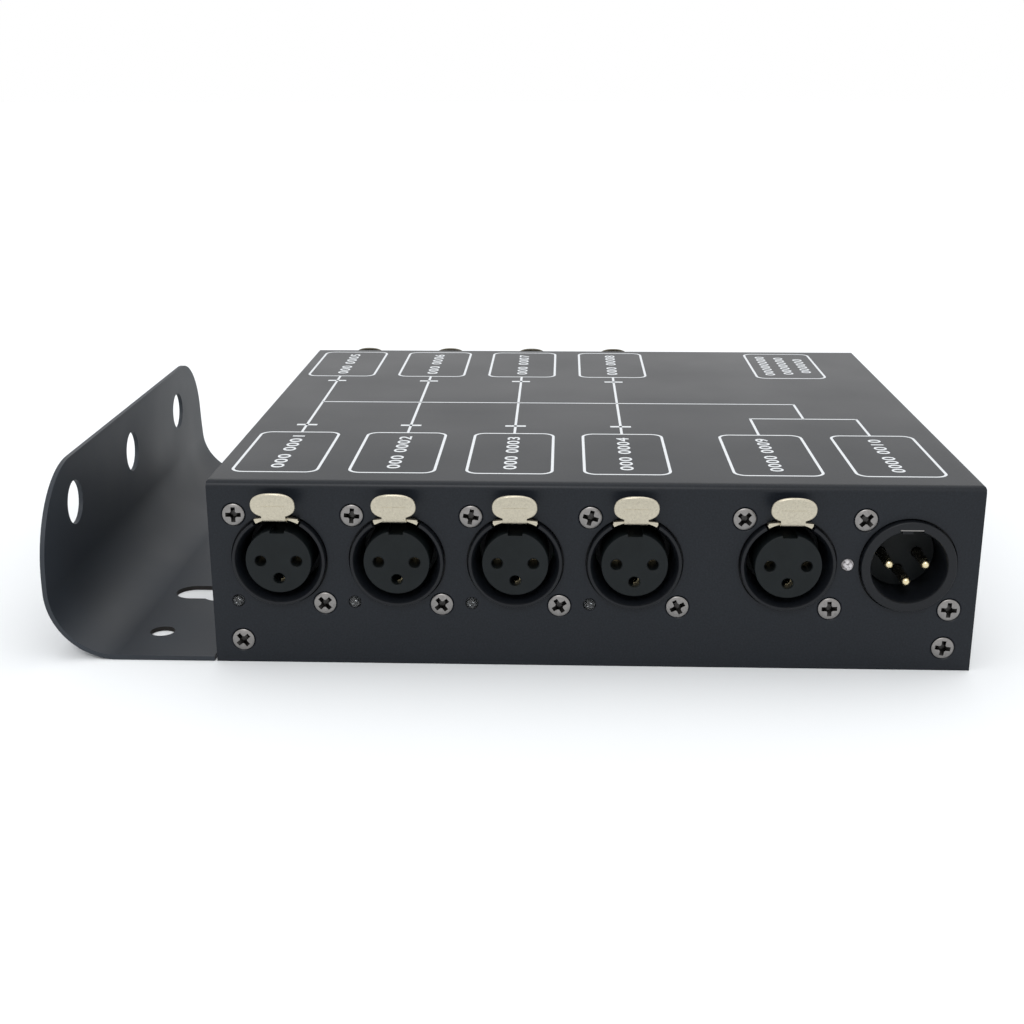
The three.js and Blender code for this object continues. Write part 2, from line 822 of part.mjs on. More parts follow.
function boardCorners() {
  const corners = [];
  for (const x of [mainBoardX[0] + boardHoleInset, mainBoardX[1] - boardHoleInset]) {
    for (const y of [mainBoardY[0] + boardHoleInset, mainBoardY[1] - boardHoleInset]) {
      corners.push({ x, y });
    }
  }
  return corners;
}

// A chip, header, terminal block or clip that stands on the main board.
function onBoard(x, y, width, depth, height) {
  return box(
    [x - width / 2, x + width / 2],
    [y - depth / 2, y + depth / 2],
    [mainBoardTop - seatGap, mainBoardTop + height],
  );
}

function mainBoardSolid() {
  let board = box(mainBoardX, mainBoardY, [mainBoardHeight, mainBoardTop]);
  for (const corner of boardCorners()) {
    const hole = circle(corner.x, corner.y, boardHoleRadius, smallSteps);
    board = cut(board, prism(hole, alongZ, mainBoardHeight - overrun, mainBoardTop + overrun));
  }
  // One driver chip and one isolator for each output, in two rows that face the panels they serve
  for (let i = 0; i < outputsPerPanel; i += 1) {
    const x = ribbonX + (i - (outputsPerPanel - 1) / 2) * chipPitch;
    for (const side of [-1, 1]) {
      for (const row of [1, 2]) {
        board = joined(board, onBoard(x, side * row * chipPitch, chipLength, chipWidth, chipHeight));
      }
    }
  }
  for (const side of [-1, 1]) {
    const y = side * (mainBoardY[1] - headerDepth);
    board = joined(board, onBoard(ribbonX, y, headerWidth, headerDepth, headerHeight));
  }
  board = joined(board, onBoard(supplyCentreX, terminalY, terminalWidth, terminalDepth, terminalHeight));
  for (const side of [-1, 1]) {
    const y = fuseY;
    const x = supplyCentreX + side * (fuseLength / 2 + fuseClipSheet);
    board = joined(board, onBoard(x, y, fuseClipSheet, 2 * fuseRadius, fuseLift + fuseRadius));
  }
  return board;
}

function standoffSolid() {
  const top = mainBoardHeight - seatGap;
  const bottom = plateSheet + seatGap;
  const body = prism(circle(0, 0, standoffRadius, hexagonSteps), alongZ, bottom, top);
  const pin = prism(circle(0, 0, standoffPinRadius, smallSteps), alongZ, bottom, mainBoardTop + seatGap);
  const head = turned(
    [
      [0, mainBoardTop + seatGap],
      [screwHeadRadius, mainBoardTop + seatGap],
      [screwHeadRadius, mainBoardTop + seatGap + screwHeadDepth],
      [0, mainBoardTop + seatGap + screwHeadDepth],
    ],
    smallSteps,
    true,
  );
  return joined(body, pin, head);
}

// A flat ribbon from a socket board's header, out over the main board and down to the header there.
function ribbonSolid() {
  const headerFace = front + socketBoardDepth + boardSheet + headerHeight + seatGap;
  const headerZ = socketHeight;
  const endY = mainBoardY[0] + headerDepth;
  const endZ = mainBoardTop + headerHeight + seatGap;
  const half = ribbonSheet / 2;
  const quarter = Math.PI / 2;
  const outerBend = ribbonBend + ribbonSheet;
  const bendY = endY + half - outerBend;
  const bendZ = headerZ + half - outerBend;
  const profile = [
    new THREE.Vector2(headerFace, headerZ - half),
    ...arc(bendY, bendZ, ribbonBend, quarter, 0, cornerSteps),
    new THREE.Vector2(endY - half, endZ),
    new THREE.Vector2(endY + half, endZ),
    ...arc(bendY, bendZ, outerBend, 0, quarter, cornerSteps),
    new THREE.Vector2(headerFace, headerZ + half),
  ];
  return prism(profile, alongX, ribbonX - ribbonWidth / 2, ribbonX + ribbonWidth / 2);
}

// Supply parts

function transformerSolid() {
  const base = mainBoardTop + seatGap;
  const halfWidth = transformerWidth / 2;
  const halfDepth = transformerDepth / 2;
  const core = roundedRectangle(
    [supplyCentreX - halfWidth, supplyCentreX + halfWidth],
    [base, base + transformerHeight],
    bobbinOverhang,
    cornerSteps,
  );
  const bobbin = roundedRectangle(
    [supplyCentreX - halfWidth + bobbinOverhang, supplyCentreX + halfWidth - bobbinOverhang],
    [base, base + transformerHeight - bobbinOverhang],
    bobbinOverhang,
    cornerSteps,
  );
  const y = [transformerY - halfDepth, transformerY + halfDepth];
  return joined(
    prism(core, alongY, y[0] + bobbinOverhang, y[1] - bobbinOverhang),
    prism(bobbin, alongY, y[0], y[1]),
  );
}

function capacitorSolid() {
  const base = mainBoardTop + seatGap;
  const groove = base + capacitorHeight - capacitorGroove;
  return turned(
    [
      [0, base],
      [capacitorRadius, base],
      [capacitorRadius, groove - capacitorCrimp],
      [capacitorRadius - capacitorCrimp, groove],
      [capacitorRadius, groove + capacitorCrimp],
      [capacitorRadius, base + capacitorHeight],
      [0, base + capacitorHeight],
    ],
    canSteps,
    true,
  ).translate([supplyCentreX, capacitorY, 0]);
}

// A glass fuse with metal end caps, held between two clips along X.
function fuseSolid() {
  const half = fuseLength / 2 - seatGap;
  const cap = half - fuseCapLength;
  const glass = fuseRadius - fuseCapRise;
  const body = turned(
    [
      [0, -half],
      [fuseRadius, -half],
      [fuseRadius, -cap],
      [glass, -cap],
      [glass, cap],
      [fuseRadius, cap],
      [fuseRadius, half],
      [0, half],
    ],
    smallSteps,
  );
  return body.rotate([0, 0, quarterTurn]).translate([supplyCentreX, fuseY, mainBoardTop + fuseLift]);
}

// Mains inlet. Its cut-out is a rectangle with two slanted upper corners.

function inletOutline(margin) {
  const halfWidth = inletBodyWidth / 2 + margin;
  const low = inletHeight - inletBodyHeight / 2 - margin;
  const high = inletHeight + inletBodyHeight / 2 + margin;
  return [
    new THREE.Vector2(inletX - halfWidth, low),
    new THREE.Vector2(inletX + halfWidth, low),
    new THREE.Vector2(inletX + halfWidth, high - inletBodyChamfer),
    new THREE.Vector2(inletX + halfWidth - inletBodyChamfer, high),
    new THREE.Vector2(inletX - halfWidth + inletBodyChamfer, high),
    new THREE.Vector2(inletX - halfWidth, high - inletBodyChamfer),
  ];
}

function bladePlaces() {
  return {
    inlet_blade_line: { x: inletX - bladePitch, z: inletHeight - bladeDrop / 2 },
    inlet_blade_neutral: { x: inletX + bladePitch, z: inletHeight - bladeDrop / 2 },
    inlet_blade_earth: { x: inletX, z: inletHeight + bladeDrop / 2 },
  };
}

function inletSolid() {
  const back = rear - inletBodyDepth;
  const outside = rear + seatGap + inletFlangeSheet;
  const flange = prism(
    roundedRectangle(
      [inletX - inletFlangeWidth / 2, inletX + inletFlangeWidth / 2],
      [inletHeight - inletFlangeHeight / 2, inletHeight + inletFlangeHeight / 2],
      inletFlangeCorner,
      cornerSteps,
    ),
    alongY,
    rear + seatGap,
    outside,
  );
  const body = prism(inletOutline(0), alongY, back, rear + seatGap + inletFlangeSheet / 2);
  const cavity = prism(inletOutline(-inletWall), alongY, back + inletFloor, outside + overrun);
  let inlet = cut(joined(flange, body), cavity);
  for (const side of [-1, 1]) {
    const hole = circle(inletX + (side * inletScrewPitch) / 2, inletHeight, inletHoleRadius, smallSteps);
    inlet = cut(inlet, prism(hole, alongY, rear, outside + overrun));
  }
  for (const place of Object.values(bladePlaces())) {
    const x = [place.x - bladeWidth / 2 - pinClearance, place.x + bladeWidth / 2 + pinClearance];
    const z = [place.z - bladeHeight / 2 - pinClearance, place.z + bladeHeight / 2 + pinClearance];
    inlet = cut(inlet, box(x, [back - overrun, back + inletFloor + overrun], z));
  }
  return inlet;
}

function bladeSolid(place) {
  return box(
    [place.x - bladeWidth / 2, place.x + bladeWidth / 2],
    [rear - inletBodyDepth - bladeTail, rear - bladeSetback],
    [place.z - bladeHeight / 2, place.z + bladeHeight / 2],
  );
}

// The mains lead inside the enclosure: from behind the inlet's blades, down to the terminals on the board.
function leadSolid() {
  const start = new THREE.Vector3(inletX, rear - inletBodyDepth - bladeTail - seatGap, inletHeight);
  const bend = new THREE.Vector3(inletX, start.y - leadRadius - leadSag, inletHeight);
  const terminalTop = mainBoardTop + terminalHeight + seatGap;
  const end = new THREE.Vector3(supplyCentreX, terminalY, terminalTop);
  const curve = new THREE.CubicBezierCurve3(start, bend, end.clone().setZ(inletHeight + leadSag), end);
  const section = new THREE.Shape(circle(0, 0, leadRadius, smallSteps));
  return solidOf(new THREE.ExtrudeGeometry(section, { steps: bendSteps, extrudePath: curve }));
}

// Finishes

function finish(colour, roughness, metalness) {
  return new THREE.MeshStandardMaterial({ color: colour, roughness, metalness });
}

const paintedSteel = () => finish(0x3a3d42, 0.62, 0.2);
const satinBracket = () => finish(0x33363a, 0.42, 0.3);
const blackShell = () => finish(0x1c1e20, 0.5, 0.2);
const darkPlastic = () => finish(0x272b2b, 0.55, 0);
const nickelSteel = () => finish(0xcdc8b6, 0.32, 1);
const zincSteel = () => finish(0x9a9a98, 0.38, 1);
const goldContact = () => finish(0xd8c27a, 0.3, 1);
const clearLens = () => finish(0xd9dde0, 0.12, 0);
const greenBoard = () => finish(0x1f5a3a, 0.55, 0);
const greyCable = () => finish(0x8f9296, 0.6, 0);
const brownCore = () => finish(0x4b4238, 0.6, 0);
const sleeveBlue = () => finish(0x24365a, 0.45, 0);
const fuseGlass = () => finish(0xc9d3d6, 0.15, 0);

function piece(name, solid, material) {
  const mesh = new THREE.Mesh(solid.isBufferGeometry ? solid : geometryOf(solid), material);
  mesh.name = name;
  return mesh;
}

// A group at a socket's place, turned half round on the rear panel.
function socketGroup(place) {
  const group = new THREE.Group();
  group.position.set(place.x, place.isRear ? rear : front, place.z);
  group.rotation.z = place.isRear ? Math.PI : 0;
  return group;
}

function outlets() {
  const group = new THREE.Group();
  const shell = geometryOf(outletShellSolid());
  const insert = geometryOf(outletInsertSolid());
  const latch = geometryOf(latchSolid());
  const named = outputPlaces.map((place, i) => [`output_${i + 1}`, place]);
  named.push(["link_output", linkPlace]);
  for (const [name, place] of named) {
    const socket = socketGroup(place);
    socket.add(piece(`${name}_shell`, shell, blackShell()));
    socket.add(piece(`${name}_insert`, insert, darkPlastic()));
    socket.add(piece(`${name}_latch`, latch, nickelSteel()));
    group.add(socket);
  }
  return group;
}

function inputPlug() {
  const group = socketGroup(inputPlace);
  group.add(piece("input_shell", inputShellSolid(), blackShell()));
  group.add(piece("input_insert", inputInsertSolid(), darkPlastic()));
  const pin = geometryOf(pinSolid());
  contactPlaces().forEach((at, i) => {
    const mesh = piece(`input_pin_${i + 1}`, pin, goldContact());
    mesh.position.set(at.x, 0, at.z);
    group.add(mesh);
  });
  return group;
}

function lamps() {
  const group = new THREE.Group();
  const lamp = geometryOf(lampSolid());
  lampPlaces.forEach((place, i) => {
    const name = i < outputsPerPanel ? `output_lamp_${i + 1}` : "input_lamp";
    const mesh = piece(name, lamp, clearLens());
    mesh.position.set(place.x, front, place.z);
    group.add(mesh);
  });
  return group;
}

function caseScrews() {
  const group = new THREE.Group();
  const screw = geometryOf(screwSolid());
  let count = 0;
  for (const isRear of [false, true]) {
    for (const x of [left + caseScrewInset, right - caseScrewInset]) {
      count += 1;
      const mesh = piece(`case_screw_${count}`, screw, zincSteel());
      mesh.position.set(x, isRear ? rear : front, caseScrewHeight);
      mesh.rotation.z = isRear ? Math.PI : 0;
      group.add(mesh);
    }
  }
  return group;
}

function boards() {
  const group = new THREE.Group();
  group.add(piece("main_board", mainBoardSolid(), greenBoard()));
  const wholeWidth = [left + socketBoardMargin, right - socketBoardMargin];
  const frontBoard = piece("front_socket_board", socketBoardSolid(wholeWidth, ribbonX), greenBoard());
  frontBoard.position.y = front;
  const rearWidth = [-rearmostOutput - socketPitch / 2, -left - socketBoardMargin];
  const rearBoard = piece("rear_socket_board", socketBoardSolid(rearWidth, -ribbonX), greenBoard());
  rearBoard.position.y = rear;
  rearBoard.rotation.z = Math.PI;
  group.add(frontBoard, rearBoard);
  const ribbon = ribbonSolid();
  group.add(piece("front_ribbon", ribbon, greyCable()));
  group.add(piece("rear_ribbon", ribbon.mirror([0, 1, 0]), greyCable()));
  const standoff = geometryOf(standoffSolid());
  boardCorners().forEach((corner, i) => {
    const mesh = piece(`standoff_${i + 1}`, standoff, zincSteel());
    mesh.position.set(corner.x, corner.y, 0);
    group.add(mesh);
  });
  return group;
}

function supply() {
  const group = new THREE.Group();
  group.add(piece("transformer", transformerSolid(), brownCore()));
  group.add(piece("reservoir_capacitor", capacitorSolid(), sleeveBlue()));
  group.add(piece("mains_fuse", fuseSolid(), fuseGlass()));
  group.add(piece("mains_inlet", inletSolid(), darkPlastic()));
  for (const [name, place] of Object.entries(bladePlaces())) {
    group.add(piece(name, bladeSolid(place), nickelSteel()));
  }
  group.add(piece("mains_lead", leadSolid(), darkPlastic()));
  return group;
}

const splitter = new THREE.Group();
splitter.add(piece("cover", coverSolid(), paintedSteel()));
splitter.add(piece("base_plate", basePlateSolid(), satinBracket()));
splitter.add(outlets(), inputPlug(), lamps(), caseScrews(), boards(), supply());

export default splitter;
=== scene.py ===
"""Looks of a signal splitter for stage lighting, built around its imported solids.

Every size is in metres in the frame's axes: +Z up, the front panel faces -Y and the hanging bracket is at -X.
A socket's own pieces are drawn with its centre at the origin and its depth along +Y, and are then placed.
"""

import math

import bmesh
import bpy
from bpy.props import FloatProperty, FloatVectorProperty, IntProperty, PointerProperty
from bpy.types import Operator, Panel, PropertyGroup
from mathutils import Matrix, Vector


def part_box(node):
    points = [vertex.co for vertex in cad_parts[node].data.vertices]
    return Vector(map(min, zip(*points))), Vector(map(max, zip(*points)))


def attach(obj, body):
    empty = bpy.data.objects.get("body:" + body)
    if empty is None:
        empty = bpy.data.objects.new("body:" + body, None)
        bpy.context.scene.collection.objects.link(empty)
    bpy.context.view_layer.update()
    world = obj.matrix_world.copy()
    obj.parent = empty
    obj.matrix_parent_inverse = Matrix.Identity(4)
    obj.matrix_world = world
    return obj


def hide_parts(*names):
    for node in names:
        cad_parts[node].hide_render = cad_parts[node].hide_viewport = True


bl_info = {
    "name": "Signal splitter",
    "version": (1, 0, 0),
    "blender": (4, 5, 0),
    "location": "3D View > Sidebar > Splitter",
    "description": "Builds the looks of a stage-lighting signal splitter around its solids",
    "category": "Object",
}

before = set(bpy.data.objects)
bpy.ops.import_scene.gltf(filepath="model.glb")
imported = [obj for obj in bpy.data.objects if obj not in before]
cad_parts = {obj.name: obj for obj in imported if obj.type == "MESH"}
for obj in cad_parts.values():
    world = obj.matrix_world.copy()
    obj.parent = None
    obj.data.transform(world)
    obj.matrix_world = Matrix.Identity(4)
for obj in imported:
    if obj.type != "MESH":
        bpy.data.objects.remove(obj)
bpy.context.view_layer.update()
MM = 0.001
ROOT = "splitter"
UP = math.pi / 2
# Name of the face attribute that marks faces for painted shade
SHADOW = "shadow"

# How far a cutting tool, or a piece that is joined on, runs past the face that it meets
OVERRUN = 1.0 * MM
# Points that lie closer than this are one point
WELD = 1e-6
# The base plate's screw tabs: outer radius of the bend, and half the width
TAB_BEND = 2.8 * MM
TAB_HALF = 5.5 * MM
# A socket's screws, from its centre
SCREW_ACROSS = 10.95 * MM
SCREW_UP = 11.55 * MM

# Places taken from the solids
COVER_LOW, COVER_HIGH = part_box("cover")
PLATE_LOW, PLATE_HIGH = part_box("base_plate")
OUTPUTS = [f"output_{number}" for number in range(1, 9)] + ["link_output"]


def centre_of(node):
    """The middle of a node's box."""
    low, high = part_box(node)
    return (low + high) / 2


class Place:
    """Where a socket stands: the middle of its hole in the panel, and which panel that is."""

    def __init__(self, node):
        centre = centre_of(node)
        self.is_rear = centre.y > 0
        self.x = centre.x
        self.z = centre.z
        self.y = COVER_HIGH.y if self.is_rear else COVER_LOW.y

    def matrix(self):
        """Takes a piece drawn at the origin to this place."""
        turn = Matrix.Rotation(math.pi if self.is_rear else 0, 4, "Z")
        return Matrix.Translation((self.x, self.y, self.z)) @ turn


SOCKETS = {name: Place(f"{name}_insert") for name in OUTPUTS}
INPUT = Place("input_insert")
ALL_PLACES = {**SOCKETS, "input": INPUT}
LAMPS = [f"output_lamp_{number}" for number in range(1, 5)] + ["input_lamp"]
CASE_SCREWS = [f"case_screw_{number}" for number in range(1, 5)]


def length(name, description, default):
    """A length property, in metres."""
    return FloatProperty(
        name=name,
        description=description,
        default=default,
        min=0.0,
        precision=5,
        unit="LENGTH",
    )


def colour(name, description, default):
    """A colour property without alpha."""
    return FloatVectorProperty(
        name=name,
        description=description,
        default=default,
        subtype="COLOR",
        size=3,
        min=0.0,
        max=1.0,
    )


class SplitterSizes(PropertyGroup):
    """Sizes of the enclosure, bracket, sockets and latches."""

    ring_steps: IntProperty(name="Ring steps", description="Facets round a ring", default=72, min=12)
    sheet: length("Cover sheet", "Thickness of the folded cover", 1.2 * MM)
    cover_bend: length("Cover bend", "Outer radius of the cover's front and rear folds", 2.0 * MM)
    side_bend: length("Side bend", "Outer radius of the cover's side folds", 0.8 * MM)
    seam: length("Seam", "Gap between two folded walls", 0.3 * MM)
    plate: length("Plate sheet", "Thickness of the base plate and bracket", 1.2 * MM)
    plate_bend: length("Bracket bend", "Outer radius of the bracket's bend", 18.0 * MM)
    bracket_length: length("Bracket length", "Length of the bracket from front to rear", 158.0 * MM)
    front_corner: length("Front corner", "Radius of the upright's front corner", 26.0 * MM)
    front_drop: length("Front drop", "How much lower the upright's top edge lies in front", 0.7 * MM)
    rear_corner: length("Rear corner", "Radius of the upright's rear corner", 21.0 * MM)
    rear_reach: length("Rear reach", "How far the upright runs on behind the bracket's length", 2.4 * MM)
    rear_flare: length("Rear flare", "Radius of the curve by which the foot widens to the rear", 67.0 * MM)
    flare_height: length("Flare height", "Height of the centre of the flare's curve", 35.0 * MM)
    bolt_hole: length("Bolt hole", "Radius of the upright's holes", 5.95 * MM)
    bolt_pitch: length("Bolt pitch", "Distance between the upright's holes", 52.5 * MM)
    bolt_height: length("Bolt height", "Height of the upright's holes", 34.0 * MM)
    foot_hole: length("Foot hole", "Radius of the foot's round holes", 3.25 * MM)
    keyhole_slot: length("Keyhole slot", "Radius of the keyhole's slot", 5.0 * MM)
    keyhole_head: length("Keyhole head", "Radius of the keyhole's head", 7.0 * MM)
    foot_notch: length("Foot notch", "How far the bracket's bend stands off the enclosure", 0.7 * MM)
    edge: length("Sheet edge", "Rounding of a cut sheet's edges", 0.22 * MM)
    panel_hole: length("Panel hole", "Radius of a socket's hole in the panel", 12.1 * MM)
    ring: length("Ring", "Outer radius of a socket's ring", 11.65 * MM)
    bore: length("Bore", "Radius of an output socket's bore", 9.65 * MM)
    mouth: length("Mouth", "Radius of the cone at the bore's mouth", 10.8 * MM)
    mouth_depth: length("Mouth depth", "Depth of the cone at the bore's mouth", 4.0 * MM)
    proud: length("Ring height", "How far a socket's ring stands out of the panel", 1.8 * MM)
    shell_depth: length("Shell depth", "Depth of a socket's body behind the panel", 13.0 * MM)
    insert: length("Insert", "Radius of an output socket's insert", 8.2 * MM)
    contact_circle: length("Contact circle", "Radius of the circle of contacts", 4.49 * MM)
    contact_hole: length("Contact hole", "Radius of a contact's hole", 1.4 * MM)
    input_bore: length("Input bore", "Radius of the input plug's bore", 9.1 * MM)
    input_mouth: length("Input mouth", "Radius of the cone at the input's mouth", 9.4 * MM)
    input_proud: length("Input height", "How far the input's ring stands out", 1.6 * MM)
    pin: length("Pin", "Radius of a contact pin", 1.2 * MM)
    lever: length("Lever sheet", "Thickness of a latch lever", 0.8 * MM)
    lever_radius: length("Lever radius", "Inner radius of the lever's saddle", 11.0 * MM)
    wing: length("Wing", "Half the width of the lever's wings", 5.4 * MM)
    wing_droop: length("Wing droop", "Radius of the wings' slight curve", 40.0 * MM)
    thumb_width: length("Thumb width", "Width of the thumb piece", 11.0 * MM)
    thumb_height: length("Thumb height", "Height of the thumb piece", 6.6 * MM)
    thumb_top: length("Thumb top", "Height of the thumb piece over the neck's bend", 6.8 * MM)
    screw_head: length("Screw head", "Radius of a screw's head", 2.75 * MM)
    screw_shank: length("Screw shank", "Radius of a screw's shank", 1.2 * MM)
    lamp: length("Lamp", "Radius of a lamp's lens", 1.5 * MM)
    print_line: length("Print line", "Width of a printed line", 0.72 * MM)
    print_film: length("Print film", "Thickness of the print", 0.03 * MM)
    print_corner: length("Print corner", "Corner radius of a printed box", 3.4 * MM)


class SplitterColours(PropertyGroup):
    """Colours of the finishes, as linear values."""

    paint: colour("Paint", "Powder coat of the cover", (0.0092, 0.0113, 0.015))
    bracket: colour("Bracket", "Satin coat of the bracket", (0.02, 0.0245, 0.0315))
    shell: colour("Shell", "Coat of the sockets' bodies", (0.005, 0.006, 0.008))
    insert: colour("Insert", "Moulding of the inserts", (0.0068, 0.009, 0.0098))
    latch: colour("Latch", "Nickel of the latch levers", (0.56, 0.515, 0.41))
    screw: colour("Screw", "Zinc of the screws", (0.26, 0.25, 0.243))
    gold: colour("Gold", "Plating of the contacts", (0.8, 0.69, 0.44))
    ink: colour("Ink", "Printed lines", (0.78, 0.79, 0.80))
    floor: colour("Floor", "Floor under the object", (0.93, 0.93, 0.93))


class StudioSettings(PropertyGroup):
    """Camera and light, which aren't part of the object."""

    focal: FloatProperty(name="Focal length", description="For a 36 mm wide sensor", default=49.74)
    camera: FloatVectorProperty(
        name="Camera",
        description="Where the camera stands",
        default=(-7.55 * MM, -415.59 * MM, 144.43 * MM),
        subtype="TRANSLATION",
    )
    aim: FloatVectorProperty(
        name="Aim",
        description="Point that the middle of the picture shows",
        default=(-22.73 * MM, 0.0, 13.87 * MM),
        subtype="TRANSLATION",
    )
    roll: FloatProperty(
        name="Roll",
        description="Turn about the line of sight",
        default=math.radians(-0.1),
        subtype="ANGLE",
    )
    sky: FloatProperty(
        name="Sky light",
        description="Level of the light from all round",
        default=0.9,
        min=0.0,
    )
    sun: FloatProperty(
        name="Overhead light",
        description="Strength of the light from above",
        default=0.45,
        min=0.0,
    )
    sun_width: FloatProperty(
        name="Overhead width",
        description="How wide the light from above is, which softens its shadow",
        default=math.radians(50),
        subtype="ANGLE",
    )
    sun_way: FloatVectorProperty(
        name="Overhead way",
        description="The way in which the light from above shines",
        default=(-0.1, -0.25, -1.0),
        subtype="DIRECTION",
    )
    key: FloatProperty(
        name="Front light",
        description="Strength of the light from the front",
        default=0.8,
        min=0.0,
    )
    key_width: FloatProperty(
        name="Front width",
        description="How wide the light from the front is",
        default=math.radians(16),
        subtype="ANGLE",
    )
    key_way: FloatVectorProperty(
        name="Front way",
        description="The way in which the light from the front shines",
        default=(0.12, 0.69, -0.72),
        subtype="DIRECTION",
    )


def sizes():
    """The sizes as the panel has them."""
    return bpy.context.scene.splitter_sizes


def colours():
    """The colours as the panel has them."""
    return bpy.context.scene.splitter_colours


# Shapes


def loop(points, plane):
    """A bmesh that holds one face on the given points of a plane."""
    bm = bmesh.new()
    axes = {"XZ": (0, 2), "YZ": (1, 2), "XY": (0, 1)}[plane]
    verts = []
    for point in points:
        place = [0.0, 0.0, 0.0]
        place[axes[0]], place[axes[1]] = point
        verts.append(bm.verts.new(place))
    bm.faces.new(verts)
    bm.normal_update()
    return bm


def extruded(points, plane, start, end):
    """A solid: an outline on a plane, carried from start to end along the plane's normal."""
    bm = loop(points, plane)
    normal = {"XZ": Vector((0, 1, 0)), "YZ": Vector((1, 0, 0)), "XY": Vector((0, 0, 1))}[plane]
    bmesh.ops.translate(bm, verts=bm.verts, vec=normal * start)
    made = bmesh.ops.extrude_face_region(bm, geom=bm.faces[:])
    top = [item for item in made["geom"] if isinstance(item, bmesh.types.BMVert)]
    bmesh.ops.translate(bm, verts=top, vec=normal * (end - start))
    bmesh.ops.recalc_face_normals(bm, faces=bm.faces[:])
    return bm


def block(x, y, z):
    """A box between the given pairs of places."""
    bm = bmesh.new()
    bmesh.ops.create_cube(bm, size=1.0)
    bmesh.ops.scale(bm, verts=bm.verts, vec=(x[1] - x[0], y[1] - y[0], z[1] - z[0]))
    centre = ((x[0] + x[1]) / 2, (y[0] + y[1]) / 2, (z[0] + z[1]) / 2)
    bmesh.ops.translate(bm, verts=bm.verts, vec=centre)
    return bm


def spun(profile, steps, start=0.0, angle=2 * math.pi):
    """A profile of (radius, depth) points turned round the Y axis, from start by angle.

    At an angle of zero a point lies along +X. A whole turn closes on itself, and a part of one gets
    end faces.
    """
    bm = bmesh.new()
    verts = [bm.verts.new((radius, depth, 0.0)) for radius, depth in profile]
    is_whole = angle >= 2 * math.pi
    if is_whole:
        pairs = list(zip(verts, verts[1:]))
        if profile[0][0] > 0:
            pairs.append((verts[-1], verts[0]))
        for pair in pairs:
            bm.edges.new(pair)
        geometry = bm.verts[:] + bm.edges[:]
    else:
        bm.faces.new(verts)
        geometry = bm.verts[:] + bm.edges[:] + bm.faces[:]
    turn = Matrix.Rotation(-start, 3, "Y")
    bmesh.ops.rotate(bm, verts=bm.verts, cent=(0, 0, 0), matrix=turn)
    bmesh.ops.spin(
        bm,
        geom=geometry,
        cent=(0, 0, 0),
        axis=(0, -1, 0),
        angle=angle,
        steps=steps,
        use_merge=is_whole,
    )
    bmesh.ops.remove_doubles(bm, verts=bm.verts, dist=WELD)
    bmesh.ops.recalc_face_normals(bm, faces=bm.faces[:])
    return bm


def arc(x, y, radius, start, end, steps):
    """Points on an arc, both ends included."""
    points = []
    for i in range(steps + 1):
        angle = start + (end - start) * i / steps
        points.append((x + radius * math.cos(angle), y + radius * math.sin(angle)))
    return points


def rounded(x, y, radius, steps):
    """A rectangle's outline with rounded corners."""
    return (
        arc(x[1] - radius, y[0] + radius, radius, -UP, 0, steps)
        + arc(x[1] - radius, y[1] - radius, radius, 0, UP, steps)
        + arc(x[0] + radius, y[1] - radius, radius, UP, 2 * UP, steps)
        + arc(x[0] + radius, y[0] + radius, radius, 2 * UP, 3 * UP, steps)
    )


def stadium(a, b, radius, steps=16):
    """The outline of a slot with round ends between two points."""
    along = math.atan2(b[1] - a[1], b[0] - a[0])
    return arc(b[0], b[1], radius, along - UP, along + UP, steps) + arc(
        a[0], a[1], radius, along + UP, along + 3 * UP, steps
    )


def rod(x, z, radius, start, end, steps=32):
    """A round bar along Y."""
    points = arc(x, z, radius, 0, 4 * UP, steps)[:-1]
    return extruded(points, "XZ", start, end)


def merged(*parts):
    """The parts' meshes in one bmesh, which takes them over."""
    whole = parts[0]
    for part in parts[1:]:
        mesh = bpy.data.meshes.new("part")
        part.to_mesh(mesh)
        part.free()
        whole.from_mesh(mesh)
        bpy.data.meshes.remove(mesh)
    return whole


def scratch_object(bm):
    """A short-lived object that holds a copy of a bmesh."""
    bmesh.ops.recalc_face_normals(bm, faces=bm.faces[:])
    mesh = bpy.data.meshes.new("scratch")
    bm.to_mesh(mesh)
    obj = bpy.data.objects.new("scratch", mesh)
    bpy.context.scene.collection.objects.link(obj)
    return obj


def combined(solid, tool, operation):
    """solid joined with, cut by or kept within tool, by the exact solver. Both are used up."""
    target, other = scratch_object(solid), scratch_object(tool)
    solid.free()
    tool.free()
    modifier = target.modifiers.new("combine", "BOOLEAN")
    modifier.operation = operation
    modifier.solver = "EXACT"
    modifier.use_self = True
    modifier.object = other
    evaluated = target.evaluated_get(bpy.context.evaluated_depsgraph_get())
    result = bmesh.new()
    result.from_mesh(evaluated.to_mesh())
    evaluated.to_mesh_clear()
    for obj in (target, other):
        mesh = obj.data
        bpy.data.objects.remove(obj)
        bpy.data.meshes.remove(mesh)
    bmesh.ops.remove_doubles(result, verts=result.verts, dist=WELD)
    bmesh.ops.dissolve_degenerate(result, edges=result.edges, dist=WELD)
    return result


def cut(solid, *tools):
    """solid with all the tools taken away."""
    return combined(solid, merged(*tools), "DIFFERENCE")


def joined(first, *others):
    """One solid of several that overlap."""
    for other in others:
        first = combined(first, other, "UNION")
    return first


def kept_within(solid, tool):
    """What solid and tool share."""
    return combined(solid, tool, "INTERSECT")


def soften(bm, offset, angle=math.radians(40), segments=2, where=None):
    """Rounds the edges that turn by more than angle, or those of them that pass the test."""
    edges = [
        edge
        for edge in bm.edges
        if len(edge.link_faces) == 2
        and edge.calc_face_angle(0) > angle
        and (where is None or where(edge))
    ]
    bmesh.ops.bevel(
        bm,
        geom=edges,
        offset=offset,
        offset_type="OFFSET",
        segments=segments,
        profile=0.5,
        affect="EDGES",
        clamp_overlap=True,
        material=-1,
    )
    return bm


